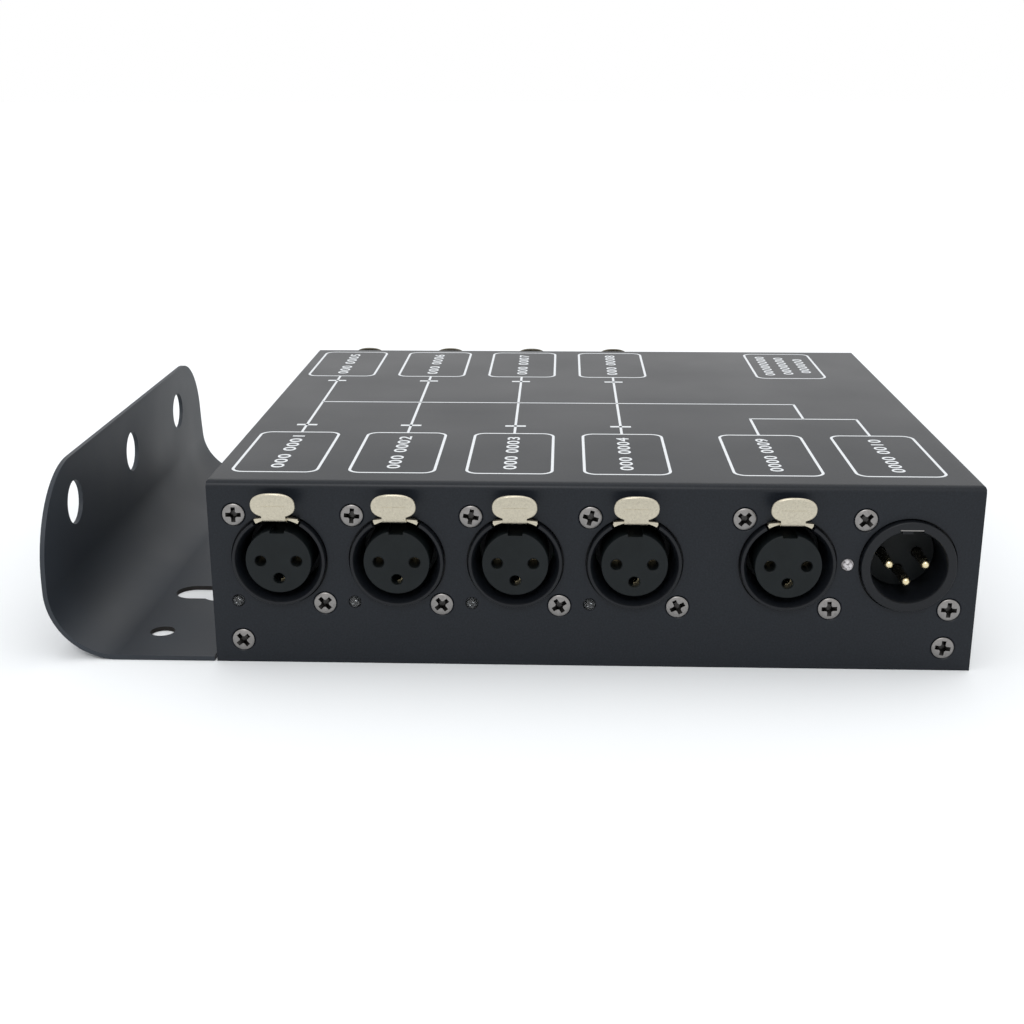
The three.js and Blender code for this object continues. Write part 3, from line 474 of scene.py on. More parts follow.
def piece(name, bm, material, body=ROOT, place=None, stands_for=()):
    """Makes a finished object from a bmesh, with its body and the nodes that it stands for."""
    mesh = bpy.data.meshes.new(name)
    if place is not None:
        bmesh.ops.transform(bm, matrix=place, verts=bm.verts)
    bmesh.ops.remove_doubles(bm, verts=bm.verts, dist=WELD)
    bmesh.ops.recalc_face_normals(bm, faces=bm.faces[:])
    bm.to_mesh(mesh)
    bm.free()
    mesh.shade_smooth()
    mesh.set_sharp_from_angle(angle=math.radians(35))
    obj = bpy.data.objects.new(name, mesh)
    bpy.context.scene.collection.objects.link(obj)
    mesh.materials.append(material)
    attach(obj, body)
    if stands_for:
        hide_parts(*stands_for)
    return obj


def even_shading(obj):
    """Lets large faces lead the shading, so that small ones at their edges don't streak them."""
    modifier = obj.modifiers.new("even_shading", "WEIGHTED_NORMAL")
    modifier.keep_sharp = True
    modifier.weight = 100


def shadow_faces(bm, test):
    """Marks the faces that pass the test for painted shade, which a finish may then darken."""
    layer = bm.faces.layers.float.new(SHADOW)
    for face in bm.faces:
        face[layer] = 1.0 if test(face) else 0.0


def dress(node, material):
    """Gives a solid that stays shown its finish."""
    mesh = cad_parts[node].data
    mesh.materials.clear()
    mesh.materials.append(material)


# Materials


class Finish:
    """A material's node tree, with short ways to add to it."""

    def __init__(self, name):
        self.material = bpy.data.materials.new(name)
        self.material.use_nodes = True
        self.tree = self.material.node_tree
        self.shader = self.tree.nodes["Principled BSDF"]
        self.coordinates = None

    def node(self, kind, **values):
        """A new node with the given settings."""
        made = self.tree.nodes.new(kind)
        for key, value in values.items():
            setattr(made, key, value)
        return made

    def link(self, source, target):
        """Joins a node's output to an input."""
        self.tree.links.new(source, target)

    def set(self, **values):
        """Sets the shader's own sockets, named with _ for a space."""
        for key, value in values.items():
            socket = self.shader.inputs[key.replace("_", " ")]
            socket.default_value = (*value, 1.0) if socket.type == "RGBA" else value

    def noise(self, size, detail=2.0, roughness=0.5):
        """Noise in the object's own space, whose grains are about size across."""
        if self.coordinates is None:
            self.coordinates = self.node("ShaderNodeTexCoord")
        noise = self.node("ShaderNodeTexNoise")
        noise.inputs["Scale"].default_value = 1 / size
        noise.inputs["Detail"].default_value = detail
        noise.inputs["Roughness"].default_value = roughness
        self.link(self.coordinates.outputs["Object"], noise.inputs["Vector"])
        return noise.outputs["Fac"]

    def spread(self, source, low, high, span=(0.3, 0.7)):
        """Takes the source's values from one end of span to the other to low and high."""
        ramp = self.node("ShaderNodeMapRange")
        ramp.inputs["From Min"].default_value = span[0]
        ramp.inputs["From Max"].default_value = span[1]
        ramp.inputs["To Min"].default_value = low
        ramp.inputs["To Max"].default_value = high
        self.link(source, ramp.inputs["Value"])
        return ramp.outputs["Result"]

    def mixed(self, factor, first, second):
        """A colour between two others, each of them a colour or a node's output."""
        mix = self.node("ShaderNodeMix", data_type="RGBA")
        sockets = {key: [i for i in mix.inputs if i.name == key and i.type == "RGBA"][0] for key in "AB"}
        for key, value in (("A", first), ("B", second)):
            if isinstance(value, tuple):
                sockets[key].default_value = (*value, 1.0)
            else:
                self.link(value, sockets[key])
        self.link(factor, mix.inputs[0])
        return [o for o in mix.outputs if o.type == "RGBA"][0]

    def tint(self, source, dark, light, shadow=None, shadow_colour=None):
        """The shader's colour, between two colours as source goes from 0 to 1, and a colour of painted shade
        where shadow marks a face.
        """
        result = self.mixed(source, dark, light)
        if shadow is not None:
            result = self.mixed(shadow, result, shadow_colour)
        self.link(result, self.shader.inputs["Base Color"])

    def rough(self, source):
        """The shader's roughness."""
        self.link(source, self.shader.inputs["Roughness"])

    def bump(self, source, height, strength):
        """A relief of the given height."""
        bump = self.node("ShaderNodeBump")
        bump.inputs["Strength"].default_value = strength
        bump.inputs["Distance"].default_value = height
        self.link(source, bump.inputs["Height"])
        self.link(bump.outputs["Normal"], self.shader.inputs["Normal"])


def shade(base, factor):
    """A colour made darker or lighter."""
    return tuple(min(1.0, channel * factor) for channel in base)


def powder_coat():
    """Fine-textured powder coat: a tight orange peel with sparse lighter grains."""
    finish = Finish("powder_coat")
    base = colours().paint
    finish.set(Metallic=0.0, Specular_IOR_Level=0.22)
    grain = finish.noise(0.45 * MM, 3.0, 0.6)
    patches = finish.noise(38 * MM)
    finish.tint(finish.spread(grain, 0, 1, (0.35, 0.75)), shade(base, 0.82), shade(base, 1.35))
    finish.rough(finish.spread(patches, 0.34, 0.39))
    finish.bump(grain, 0.03 * MM, 0.5)
    return finish.material


def satin_coat():
    """Smooth satin coat with a soft, cloudy sheen, and painted shade on the marked faces, which are dark and
    dull.
    """
    finish = Finish("satin_coat")
    base = colours().bracket
    finish.set(Metallic=0.0)
    clouds = finish.noise(26 * MM)
    grain = finish.noise(0.35 * MM)
    mark = finish.node("ShaderNodeAttribute", attribute_name=SHADOW).outputs["Fac"]
    # Painted shade for the walls of the foot's holes: near-black, with little specular
    hole_wall = (0.022, 0.02, 0.019)
    finish.tint(finish.spread(clouds, 0, 1), shade(base, 0.88), shade(base, 1.15), mark, hole_wall)
    sheen = finish.spread(mark, 0.36, 0.1, (0.0, 1.0))
    finish.link(sheen, finish.shader.inputs["Specular IOR Level"])
    finish.rough(finish.spread(clouds, 0.46, 0.54))
    finish.bump(grain, 0.02 * MM, 0.4)
    return finish.material


def black_casting():
    """Black-coated die casting."""
    finish = Finish("black_casting")
    base = colours().shell
    finish.set(Metallic=0.0, Specular_IOR_Level=0.27)
    grain = finish.noise(0.3 * MM)
    finish.tint(finish.spread(grain, 0, 1), shade(base, 0.8), shade(base, 1.3))
    finish.rough(finish.spread(finish.noise(5 * MM), 0.34, 0.46))
    finish.bump(grain, 0.012 * MM, 0.4)
    return finish.material


def moulded_plastic(name, base, roughness, specular=0.38):
    """Matt moulded plastic with a faint grain."""
    finish = Finish(name)
    finish.set(Metallic=0.0, Specular_IOR_Level=specular)
    grain = finish.noise(0.25 * MM)
    finish.tint(finish.spread(finish.noise(4 * MM), 0, 1), shade(base, 0.9), shade(base, 1.12))
    finish.rough(finish.spread(grain, roughness - 0.05, roughness + 0.06))
    finish.bump(grain, 0.01 * MM, 0.4)
    return finish.material


def plated_metal(name, base, roughness, grain_size=0.5 * MM):
    """Plated metal with fine, uneven marks, and painted shade on the marked faces."""
    finish = Finish(name)
    finish.set(Metallic=1.0)
    marks = finish.noise(grain_size, 3.0, 0.6)
    mark = finish.node("ShaderNodeAttribute", attribute_name=SHADOW).outputs["Fac"]
    # Painted shade on the marked faces: the screws' crosses, the pins' shanks and the thumbs' faces towards
    # the panel
    recess = shade(base, 0.2)
    finish.tint(finish.spread(marks, 0, 1), shade(base, 0.86), shade(base, 1.06), mark, recess)
    finish.rough(finish.spread(marks, roughness - 0.05, roughness + 0.08))
    finish.bump(marks, 0.006 * MM, 0.35)
    return finish.material


def clear_lens():
    """Clear moulded lens."""
    finish = Finish("clear_lens")
    finish.set(Base_Color=(0.93, 0.95, 0.96), Transmission_Weight=0.99, IOR=1.42)
    finish.rough(finish.spread(finish.noise(0.6 * MM), 0.02, 0.05))
    return finish.material


def lit_lens():
    """Milky lens with a lit lamp behind it."""
    finish = Finish("lit_lens")
    finish.set(Emission_Color=(1.0, 0.95, 0.96), Emission_Strength=0.05)
    patches = finish.spread(finish.noise(0.9 * MM), 0, 1, (0.42, 0.58))
    finish.tint(patches, (0.1, 0.09, 0.095), (0.5, 0.48, 0.49))
    finish.rough(finish.spread(finish.noise(0.6 * MM), 0.2, 0.32))
    return finish.material


def ink():
    """Matt screen-printed ink that lies unevenly on the coat's grain."""
    finish = Finish("printed_ink")
    base = colours().ink
    grain = finish.noise(0.4 * MM, 3.0, 0.6)
    finish.set(Metallic=0.0, Specular_IOR_Level=0.3)
    finish.tint(finish.spread(grain, 0, 1), shade(base, 0.86), shade(base, 1.04))
    finish.rough(finish.spread(grain, 0.55, 0.7))
    finish.bump(grain, 0.03 * MM, 0.4)
    return finish.material


MATERIALS = {}


def material(name):
    """The finish of that name, made on first use."""
    makers = {
        "powder_coat": powder_coat,
        "satin_coat": satin_coat,
        "black_casting": black_casting,
        "insert_plastic": lambda: moulded_plastic("insert_plastic", colours().insert, 0.46, 0.18),
        "inlet_plastic": lambda: moulded_plastic("inlet_plastic", (0.014, 0.014, 0.015), 0.4),
        "latch_nickel": lambda: plated_metal("latch_nickel", colours().latch, 0.3),
        "blade_nickel": lambda: plated_metal("blade_nickel", (0.62, 0.6, 0.56), 0.28),
        "screw_zinc": lambda: plated_metal("screw_zinc", colours().screw, 0.36),
        "contact_gold": lambda: plated_metal("contact_gold", colours().gold, 0.24),
        # A near-black cup inside each lamp's lens: painted shade
        "painted_shade_cup": lambda: moulded_plastic("painted_shade_cup", (0.006, 0.007, 0.008), 0.5),
        "lamp_frame": lambda: plated_metal("lamp_frame", (0.6, 0.62, 0.64), 0.16, 0.3 * MM),
        "clear_lens": clear_lens,
        "lit_lens": lit_lens,
        "ink": ink,
        "laminate": lambda: moulded_plastic("laminate", (0.012, 0.09, 0.035), 0.35),
        "ribbon": lambda: moulded_plastic("ribbon", (0.3, 0.31, 0.33), 0.5),
        "core": lambda: moulded_plastic("core", (0.07, 0.05, 0.035), 0.5),
        "sleeve": lambda: moulded_plastic("sleeve", (0.015, 0.03, 0.1), 0.32),
        "sheath": lambda: moulded_plastic("sheath", (0.012, 0.012, 0.012), 0.55),
    }
    if name not in MATERIALS:
        MATERIALS[name] = makers[name]()
    return MATERIALS[name]


# Places on the panels


def cover_top():
    """Height of the cover's upper face, which leaves room for the print above it."""
    return COVER_HIGH.z - sizes().print_film


def screw_places():
    """The two screws of a socket, in the socket's own axes: upper left and lower right from outside."""
    return [(-SCREW_ACROSS, SCREW_UP), (SCREW_ACROSS, -SCREW_UP)]


def countersink(x, z, place):
    """A tool for a screw's conical hole, at x and z in a socket's own axes."""
    size = sizes()
    clearance = 0.3 * MM
    mouth_share = 1.4
    cone_end, end = 1.5 * MM, 3 * MM
    mouth = size.screw_head + mouth_share * clearance
    throat = size.screw_shank + clearance
    bm = spun([(0, -OVERRUN), (mouth, -OVERRUN), (mouth, 0), (throat, cone_end), (throat, end), (0, end)], 32)
    bmesh.ops.translate(bm, verts=bm.verts, vec=(x, 0, z))
    bmesh.ops.transform(bm, matrix=place, verts=bm.verts)
    return bm


def node_place(node):
    """A place in a panel at the middle of a node, with depth along +Y at the front and -Y at the rear."""
    return Place(node).matrix()


def inlet_outline(margin):
    """The inlet's outline, larger than its body by margin: a rectangle with two slanted upper corners."""
    centre = centre_of("mains_inlet")
    half_width, half_height, slant = 13.5 * MM + margin, 9.8 * MM + margin, 5 * MM
    low, high = centre.z - half_height, centre.z + half_height
    return [
        (centre.x - half_width, low),
        (centre.x + half_width, low),
        (centre.x + half_width, high - slant),
        (centre.x + half_width - slant, high),
        (centre.x - half_width + slant, high),
        (centre.x - half_width, high - slant),
    ]


class SplitterOperator:
    """What all the operators share."""

    bl_options = {"REGISTER", "UNDO"}


class SPLITTER_OT_cover(SplitterOperator, Operator):
    """Fold the cover and cut its openings"""

    bl_idname = "splitter.cover"
    bl_label = "Cover"

    def folded_block(self, inset, bottom):
        """The enclosure's block, smaller all round by inset, with its upper edges rounded."""
        size = sizes()
        steps = 10
        top = cover_top() - inset
        x = (COVER_LOW.x + inset, COVER_HIGH.x - inset)
        y = (COVER_LOW.y + inset, COVER_HIGH.y - inset)
        least = 0.1 * MM
        blocks = []
        for plane, (low, high), ends, bend in (
            ("YZ", y, x, size.cover_bend),
            ("XZ", x, y, size.side_bend),
        ):
            radius = max(bend - inset, least)
            outline = (
                [(low, bottom), (high, bottom)]
                + arc(high - radius, top - radius, radius, 0, UP, steps)
                + arc(low + radius, top - radius, radius, UP, 2 * UP, steps)
            )
            blocks.append(extruded(outline, plane, *ends))
        return kept_within(*blocks)

    def openings(self):
        """Tools for every hole and seam in the cover."""
        size = sizes()
        lamp_clearance, inlet_clearance = 0.12 * MM, 0.3 * MM
        tools = []
        for place in ALL_PLACES.values():
            hole = rod(0, 0, size.panel_hole, -OVERRUN, size.sheet + OVERRUN, size.ring_steps)
            bmesh.ops.transform(hole, matrix=place.matrix(), verts=hole.verts)
            tools.append(hole)
            for x, z in screw_places():
                tools.append(countersink(x, z, place.matrix()))
        for node in CASE_SCREWS:
            tools.append(countersink(0, 0, node_place(node)))
        for node in LAMPS:
            hole = rod(0, 0, size.lamp + lamp_clearance, -OVERRUN, size.sheet + OVERRUN, 24)
            bmesh.ops.transform(hole, matrix=node_place(node), verts=hole.verts)
            tools.append(hole)
        rear = (COVER_HIGH.y - size.sheet - OVERRUN, COVER_HIGH.y + OVERRUN)
        tools.append(extruded(inlet_outline(inlet_clearance), "XZ", *rear))
        seam_top = COVER_HIGH.z - size.cover_bend
        below = -OVERRUN
        for side in (-1, 1):
            wall = COVER_LOW.x if side < 0 else COVER_HIGH.x - size.sheet
            across = (wall - OVERRUN, wall + size.sheet + OVERRUN)
            front = COVER_LOW.y + size.sheet
            back = COVER_HIGH.y - size.sheet
            tools.append(block(across, (front, front + size.seam), (below, seam_top)))
            tools.append(block(across, (back - size.seam, back), (below, seam_top)))
        left = (COVER_LOW.x - OVERRUN, COVER_LOW.x + size.sheet + OVERRUN)
        between = (COVER_LOW.y + size.sheet + size.seam, COVER_HIGH.y - size.sheet - size.seam)
        tools.append(block(left, between, (below, size.plate + size.seam)))
        return tools

    def execute(self, context):
        size = sizes()
        outer = self.folded_block(0.0, COVER_LOW.z)
        inner = self.folded_block(size.sheet, COVER_LOW.z - OVERRUN)
        shell = cut(cut(outer, inner), *self.openings())
        piece("cover_folded", shell, material("powder_coat"), stands_for=("cover",))
        return {"FINISHED"}


class SPLITTER_OT_base_plate(SplitterOperator, Operator):
    """Bend the base plate into its hanging bracket and cut its holes"""

    bl_idname = "splitter.base_plate"
    bl_label = "Base plate and bracket"

    def bracket(self):
        """The bent sheet at the left, with its shaped upper corners."""
        size = sizes()
        outer, root = PLATE_LOW.x, COVER_LOW.x - size.foot_notch
        top = PLATE_HIGH.z
        bend, inner_bend = size.plate_bend, size.plate_bend - size.plate
        centre = outer + bend
        bend_steps, corner_steps = 28, 18
        profile = (
            [(outer, top)]
            + arc(centre, bend, bend, 2 * UP, 3 * UP, bend_steps)
            + [(root, 0.0), (root, size.plate)]
            + arc(centre, bend, inner_bend, 3 * UP, 2 * UP, bend_steps)
            + [(outer + size.plate, top)]
        )
        front = COVER_LOW.y
        rear = front + size.bracket_length + size.rear_reach
        front_corner, rear_corner = size.front_corner, size.rear_corner
        front_centre = (front + front_corner, top - size.front_drop - front_corner)
        # The rear edge is an S: the corner's arc runs on into a hollow one that widens the foot.
        flare = size.rear_flare
        reach = rear_corner + flare
        lean = math.asin((size.flare_height - top + rear_corner) / reach)
        swing = math.asin((size.flare_height - size.plate) / flare)
        flare_centre = rear - rear_corner + reach * math.cos(lean)
        foot_rear = flare_centre - flare * math.cos(swing)
        sheet = extruded(profile, "XZ", front, foot_rear + OVERRUN)
        low = -OVERRUN
        flare_arc = arc(flare_centre, size.flare_height, flare, 2 * UP + swing, 2 * UP + lean, corner_steps)
        outline = (
            [(front, low), (foot_rear, low)]
            + flare_arc[:-1]
            + arc(rear - rear_corner, top - rear_corner, rear_corner, lean, UP, corner_steps)
            + arc(*front_centre, front_corner, UP, 2 * UP, corner_steps)
        )
        return kept_within(sheet, extruded(outline, "YZ", outer - OVERRUN, COVER_LOW.x))

    def tab(self, x, is_rear):
        """A screw tab bent up behind a panel."""
        size = sizes()
        bend = TAB_BEND
        inner = bend - size.plate
        high, hole_height, hole = 10 * MM, 6 * MM, 1.5 * MM
        steps = 8
        face = COVER_LOW.y + size.sheet + size.seam
        root = face + 2 * bend
        profile = (
            [(root, 0.0), (root, size.plate)]
            + arc(face + bend, bend, inner, 3 * UP, 2 * UP, steps)
            + [(face + size.plate, high), (face, high)]
            + arc(face + bend, bend, bend, 2 * UP, 3 * UP, steps)
        )
        tab = extruded(profile, "YZ", x - TAB_HALF, x + TAB_HALF)
        tab = cut(tab, rod(x, hole_height, hole, face - OVERRUN, face + size.plate + OVERRUN))
        if is_rear:
            bmesh.ops.scale(tab, vec=(1, -1, 1), verts=tab.verts)
        return tab

    def holes(self):
        """Tools for the upright's bolt holes, and for the foot's round holes and keyholes."""
        size = sizes()
        # Measured in from both ends of the bracket's length, and out from the enclosure's side
        foot_hole_in, foot_hole_out = 16.5 * MM, 18.5 * MM
        keyhole_in, head_out, slot_out = 46 * MM, 8.2 * MM, 22.5 * MM
        tools = []
        outer = PLATE_LOW.x
        half_length = size.bracket_length / 2
        middle = COVER_LOW.y + half_length
        for step in (-1, 0, 1):
            points = arc(middle + step * size.bolt_pitch, size.bolt_height, size.bolt_hole, 0, 4 * UP, 48)
            tools.append(extruded(points[:-1], "YZ", outer - OVERRUN, outer + size.plate + OVERRUN))
        depth = (-OVERRUN, size.plate + OVERRUN)
        for side in (-1, 1):
            y = middle + side * (half_length - foot_hole_in)
            points = arc(COVER_LOW.x - foot_hole_out, y, size.foot_hole, 0, 4 * UP, 40)
            tools.append(extruded(points[:-1], "XY", *depth))
            y = middle + side * (half_length - keyhole_in)
            head = (COVER_LOW.x - head_out, y)
            end = (COVER_LOW.x - slot_out + size.keyhole_slot, y)
            slot = extruded(stadium(end, head, size.keyhole_slot), "XY", *depth)
            round_head = extruded(arc(*head, size.keyhole_head, 0, 4 * UP, 48)[:-1], "XY", *depth)
            tools.append(joined(slot, round_head))
        return tools

    def execute(self, context):
        size = sizes()
        fold = size.sheet + size.seam
        root = COVER_LOW.x - size.foot_notch - size.plate
        end = COVER_HIGH.x - size.sheet - size.seam
        front, rear = COVER_LOW.y + fold, COVER_HIGH.y - fold
        y = (front + TAB_BEND, rear - TAB_BEND)
        plate = joined(self.bracket(), block((root, end), y, (0.0, size.plate)))
        tab_room = TAB_HALF + size.seam
        screw_x = [centre_of(node).x for node in CASE_SCREWS[:2]]
        between = (min(screw_x) + tab_room, max(screw_x) - tab_room)
        for is_rear in (False, True):
            strip = (y[1] - OVERRUN, rear) if is_rear else (front, y[0] + OVERRUN)
            plate = joined(plate, block(between, strip, (0.0, size.plate)))
            for x in screw_x:
                plate = joined(plate, self.tab(x, is_rear))
        plate = cut(plate, *self.holes())
        soften(plate, size.edge, angle=math.radians(50))
        # A rounded edge must not bulge below the underside.
        for vert in plate.verts:
            vert.co.z = max(vert.co.z, 0.0)
        inside = 2 * MM

        def is_hole_wall(face):
            """Whether a face is a wall of a hole in the foot."""
            centre = face.calc_center_median()
            is_wall = abs(face.normal.z) < 0.5 and centre.z < size.plate
            is_within = COVER_LOW.y + inside < centre.y < COVER_LOW.y + size.bracket_length - inside
            return is_wall and is_within and centre.x < COVER_LOW.x - size.foot_notch - inside / 2

        plate.normal_update()
        # The walls of the foot's holes are marked for painted shade.
        shadow_faces(plate, is_hole_wall)
        finish = material("satin_coat")
        even_shading(piece("base_plate_bent", plate, finish, stands_for=("base_plate",)))
        return {"FINISHED"}


def flange():
    """A socket's flange behind the panel: a disc with two screw ears."""
    size = sizes()
    thickness, disc, ear, hole = 2.2 * MM, 13 * MM, 3.4 * MM, 1.25 * MM
    front = size.sheet + size.seam
    rear = front + thickness
    ears = screw_places()
    body = joined(
        extruded(stadium(ears[1], ears[0], ear, 20), "XZ", front, rear),
        rod(0, 0, disc, front, rear, size.ring_steps),
    )
    holes = [rod(x, z, hole, front - OVERRUN, rear + OVERRUN, 20) for x, z in ears]
    return cut(body, *holes)


def barrel(bore, mouth, mouth_depth, proud):
    """A socket's round body, open at both ends, with a coned mouth and softened rims."""
    size = sizes()
    soft, chamfer = 0.35 * MM, 0.12 * MM
    depth = size.shell_depth
    rim = arc(size.ring - soft, -proud + soft, soft, -UP, 0, 4)
    profile = (
        [(bore, mouth_depth - proud), (mouth, -proud + chamfer), (mouth + chamfer, -proud)]
        + rim
        + [(size.ring, depth), (bore, depth)]
    )
    return spun(profile, size.ring_steps)


class SPLITTER_OT_outlets(SplitterOperator, Operator):
    """Build the output sockets: bodies, inserts and spring contacts"""

    bl_idname = "splitter.outlets"
    bl_label = "Output sockets"

    def shell(self):
        """The body: flange and barrel, with the latch's slot, its window and the ridge that it rocks on."""
        size = sizes()
        body = barrel(size.bore, size.mouth, size.mouth_depth, size.proud)
        clear_bore = rod(0, 0, (size.bore + size.ring) / 2, 0, size.shell_depth, size.ring_steps)
        body = joined(body, cut(flange(), clear_bore))
        half = math.radians(31)
        span = (UP - half, 2 * half)
        steps = 16
        floor, reach = 10.2 * MM, 14 * MM
        window_half, window_front = 2.0 * MM, 7.2 * MM
        ridge_front, ridge_rear, ridge_gap = 2.4 * MM, 3.6 * MM, 0.3 * MM
        front, rear = -size.proud - OVERRUN, size.shell_depth + OVERRUN
        slot = spun([(floor, front), (reach, front), (reach, rear), (floor, rear)], steps, *span)
        window = block((-window_half, window_half), (window_front, rear), (size.insert, reach))
        body = cut(cut(body, slot), window)
        root, crest = (size.bore + floor) / 2, size.lever_radius - ridge_gap
        outline = [(root, ridge_front), (crest, ridge_front), (crest, ridge_rear), (root, ridge_rear)]
        return joined(body, spun(outline, steps, *span))

    def insert(self):
        """The insert: a stepped disc with three contact holes and the key's groove."""
        size = sizes()
        soft, chamfer = 0.3 * MM, 0.22 * MM
        base_height, base_gap, behind = 2.5 * MM, 0.35 * MM, 1 * MM
        hole_end = 9 * MM
        groove_half, groove_end, groove_depth = 1.8 * MM, 7 * MM, 0.9 * MM
        front, base_front, rear = -size.proud, size.shell_depth - base_height, size.shell_depth + behind
        base = size.bore - base_gap
        profile = (
            [(0.0, front)]
            + arc(size.insert - soft, front + soft, soft, -UP, 0, 4)
            + [(size.insert, base_front), (base, base_front), (base, rear), (0.0, rear)]
        )
        body = spun(profile, size.ring_steps)
        tools = []
        wide = size.contact_hole + chamfer
        hole = [
            (0.0, front - OVERRUN),
            (wide, front - OVERRUN),
            (wide, front),
            (size.contact_hole, front + chamfer),
            (size.contact_hole, hole_end),
            (0.0, hole_end),
        ]
        for x, z in contact_places():
            tool = spun(hole, 28)
            bmesh.ops.translate(tool, verts=tool.verts, vec=(x, 0, z))
            tools.append(tool)
        groove_z = (size.insert - groove_depth, size.insert + OVERRUN)
        tools.append(block((-groove_half, groove_half), (front - OVERRUN, groove_end), groove_z))
        return cut(body, *tools)

    def contacts(self):
        """Three spring contacts: two sleeves split along their length and a trough."""
        size = sizes()
        outer_gap, inner_gap = 0.08 * MM, 0.38 * MM
        outer, inner = size.contact_hole - outer_gap, size.contact_hole - inner_gap
        tube_front, trough_front, rear = 5 * MM, 1.1 * MM, 8.9 * MM
        sleeves = []
        split = math.radians(14)
        tube = (tube_front, split, 2 * math.pi - 2 * split)
        # The lower contact is part of a tube that stands further forward, so that it meets its pin first.
        trough = (trough_front, math.radians(-95), math.radians(100))
        for (x, z), (front, start, angle) in zip(contact_places(), (tube, tube, trough)):
            sleeve = spun([(inner, front), (outer, front), (outer, rear), (inner, rear)], 24, start, angle)
            bmesh.ops.translate(sleeve, verts=sleeve.verts, vec=(x, 0, z))
            sleeves.append(sleeve)
        return merged(*sleeves)

    def execute(self, context):
        shell, insert, contacts = self.shell(), self.insert(), self.contacts()
        for name, place in SOCKETS.items():
            turned = place.matrix()
            parts = (
                ("body", shell, "black_casting", "socket_shell", (f"{name}_shell",)),
                ("core", insert, "insert_plastic", "socket_insert", (f"{name}_insert",)),
                ("contacts", contacts, "contact_gold", "contact_gold", ()),
            )
            for part, bm, finish, slot, nodes in parts:
                piece(f"{name}_{part}", bm.copy(), material(finish), place=turned, stands_for=nodes)
        return {"FINISHED"}


def contact_places():
    """The contacts of a socket, from its centre: left, right and below."""
    radius = sizes().contact_circle
    return [(-radius, 0.0), (radius, 0.0), (0.0, -radius)]


class SPLITTER_OT_latches(SplitterOperator, Operator):
    """Build the see-saw latch levers of the output sockets"""

    bl_idname = "splitter.latches"
    bl_label = "Latch levers"

    def thumb(self, root, rise):
        """The thumb piece: an oval with full sides and rounded rims that leans with the neck."""
        size = sizes()
        fullness, rim = 2.4, 0.28 * MM
        field_margin, field_depth = 0.3 * MM, 0.07 * MM
        bm = bmesh.new()
        bmesh.ops.create_circle(bm, cap_ends=True, segments=56, radius=1.0)
        power = 2 / fullness
        for vert in bm.verts:
            vert.co.x = math.copysign(abs(vert.co.x) ** power, vert.co.x) * size.thumb_width / 2
            vert.co.y = math.copysign(abs(vert.co.y) ** power, vert.co.y) * size.thumb_height / 2
        made = bmesh.ops.extrude_face_region(bm, geom=bm.faces[:])
        top = [item for item in made["geom"] if isinstance(item, bmesh.types.BMVert)]
        bmesh.ops.translate(bm, verts=top, vec=(0, 0, size.lever))
        bmesh.ops.recalc_face_normals(bm, faces=bm.faces[:])
        soften(bm, rim, segments=3)
        for sign in (-1, 1):
            flat = [face for face in bm.faces if face.normal.z * sign > 0.999]
            bmesh.ops.inset_region(
                bm,
                faces=flat,
                thickness=field_margin,
                depth=-field_depth,
                use_even_offset=True,
            )
        up = Vector((0, rise[0], rise[1]))
        out = Vector((1, 0, 0)).cross(up)
        centre = Vector((0, root[0], root[1])) + up * (size.thumb_top - size.thumb_height / 2)
        basis = Matrix((Vector((1, 0, 0)), up, out)).transposed().to_4x4()
        bmesh.ops.transform(bm, matrix=Matrix.Translation(centre) @ basis, verts=bm.verts)
        return bm

    def wings(self, front, rear):
        """A band with hardly any curve, across the neck in front of the panel."""
        size = sizes()
        sheet_share, rim, steps = 0.65, 0.1 * MM, 12
        spread = math.asin(size.wing / size.wing_droop)
        centre = size.lever_radius - size.wing_droop
        upper = arc(0, centre, size.wing_droop + sheet_share * size.lever, UP - spread, UP + spread, steps)
        lower = arc(0, centre, size.wing_droop, UP + spread, UP - spread, steps)
        return soften(extruded(upper + lower, "XZ", front, rear), rim)

    def lever(self):
        """The whole lever: neck, wings, saddle on the ridge, arm, hook and thumb piece."""
        size = sizes()
        sheet, radius = size.lever, size.lever_radius
        lean = math.radians(12)
        bend, bend_y = 0.5 * MM, -3.5 * MM
        top = radius + sheet
        wing_front, wing_rear = -2.2 * MM, -0.9 * MM
        saddle_rear, hook_front, end, hook_low = 6 * MM, 8.2 * MM, 9.2 * MM, 8.6 * MM
        neck_half, arm_half, lap = 2.925 * MM, 1.7 * MM, 0.5 * MM
        centre = (bend_y, top + bend)
        outer = arc(*centre, bend + sheet, -UP, lean - 2 * UP, 10)
        inner = arc(*centre, bend, lean - 2 * UP, -UP, 10)
        rise = (-math.sin(lean), math.cos(lean))
        height = size.thumb_top - size.thumb_height / 2
        lifted = [(p[0] + rise[0] * height, p[1] + rise[1] * height) for p in (outer[-1], inner[0])]
        strip = [(wing_rear, radius)] + outer + lifted + inner + [(wing_rear, top)]
        neck = extruded(strip, "YZ", -neck_half, neck_half)
        spread = math.radians(28)
        front, rear = wing_rear - lap, saddle_rear
        band = [(radius, front), (top, front), (top, rear), (radius, rear)]
        saddle = spun(band, 20, UP - spread, 2 * spread)
        side = (-arm_half, arm_half)
        arm = block(side, (rear - lap, end), (radius, top))
        hook = block(side, (hook_front, end), (hook_low, top))
        wings, thumb = self.wings(wing_front, wing_rear), self.thumb(inner[0], rise)
        lever = joined(neck, wings, saddle, arm, hook, thumb)
        inside = top + bend
        # The thumb's faces towards the panel are marked for painted shade.
        shadow_faces(lever, lambda face: face.normal.y > 0.3 and face.calc_center_median().z > inside)
        return lever

    def execute(self, context):
        lever = self.lever()
        for name, place in SOCKETS.items():
            piece(
                f"{name}_lever_plate",
                lever.copy(),
                material("latch_nickel"),
                body=f"{name}_lever",
                place=place.matrix(),
                stands_for=(f"{name}_latch",),
            )
        return {"FINISHED"}


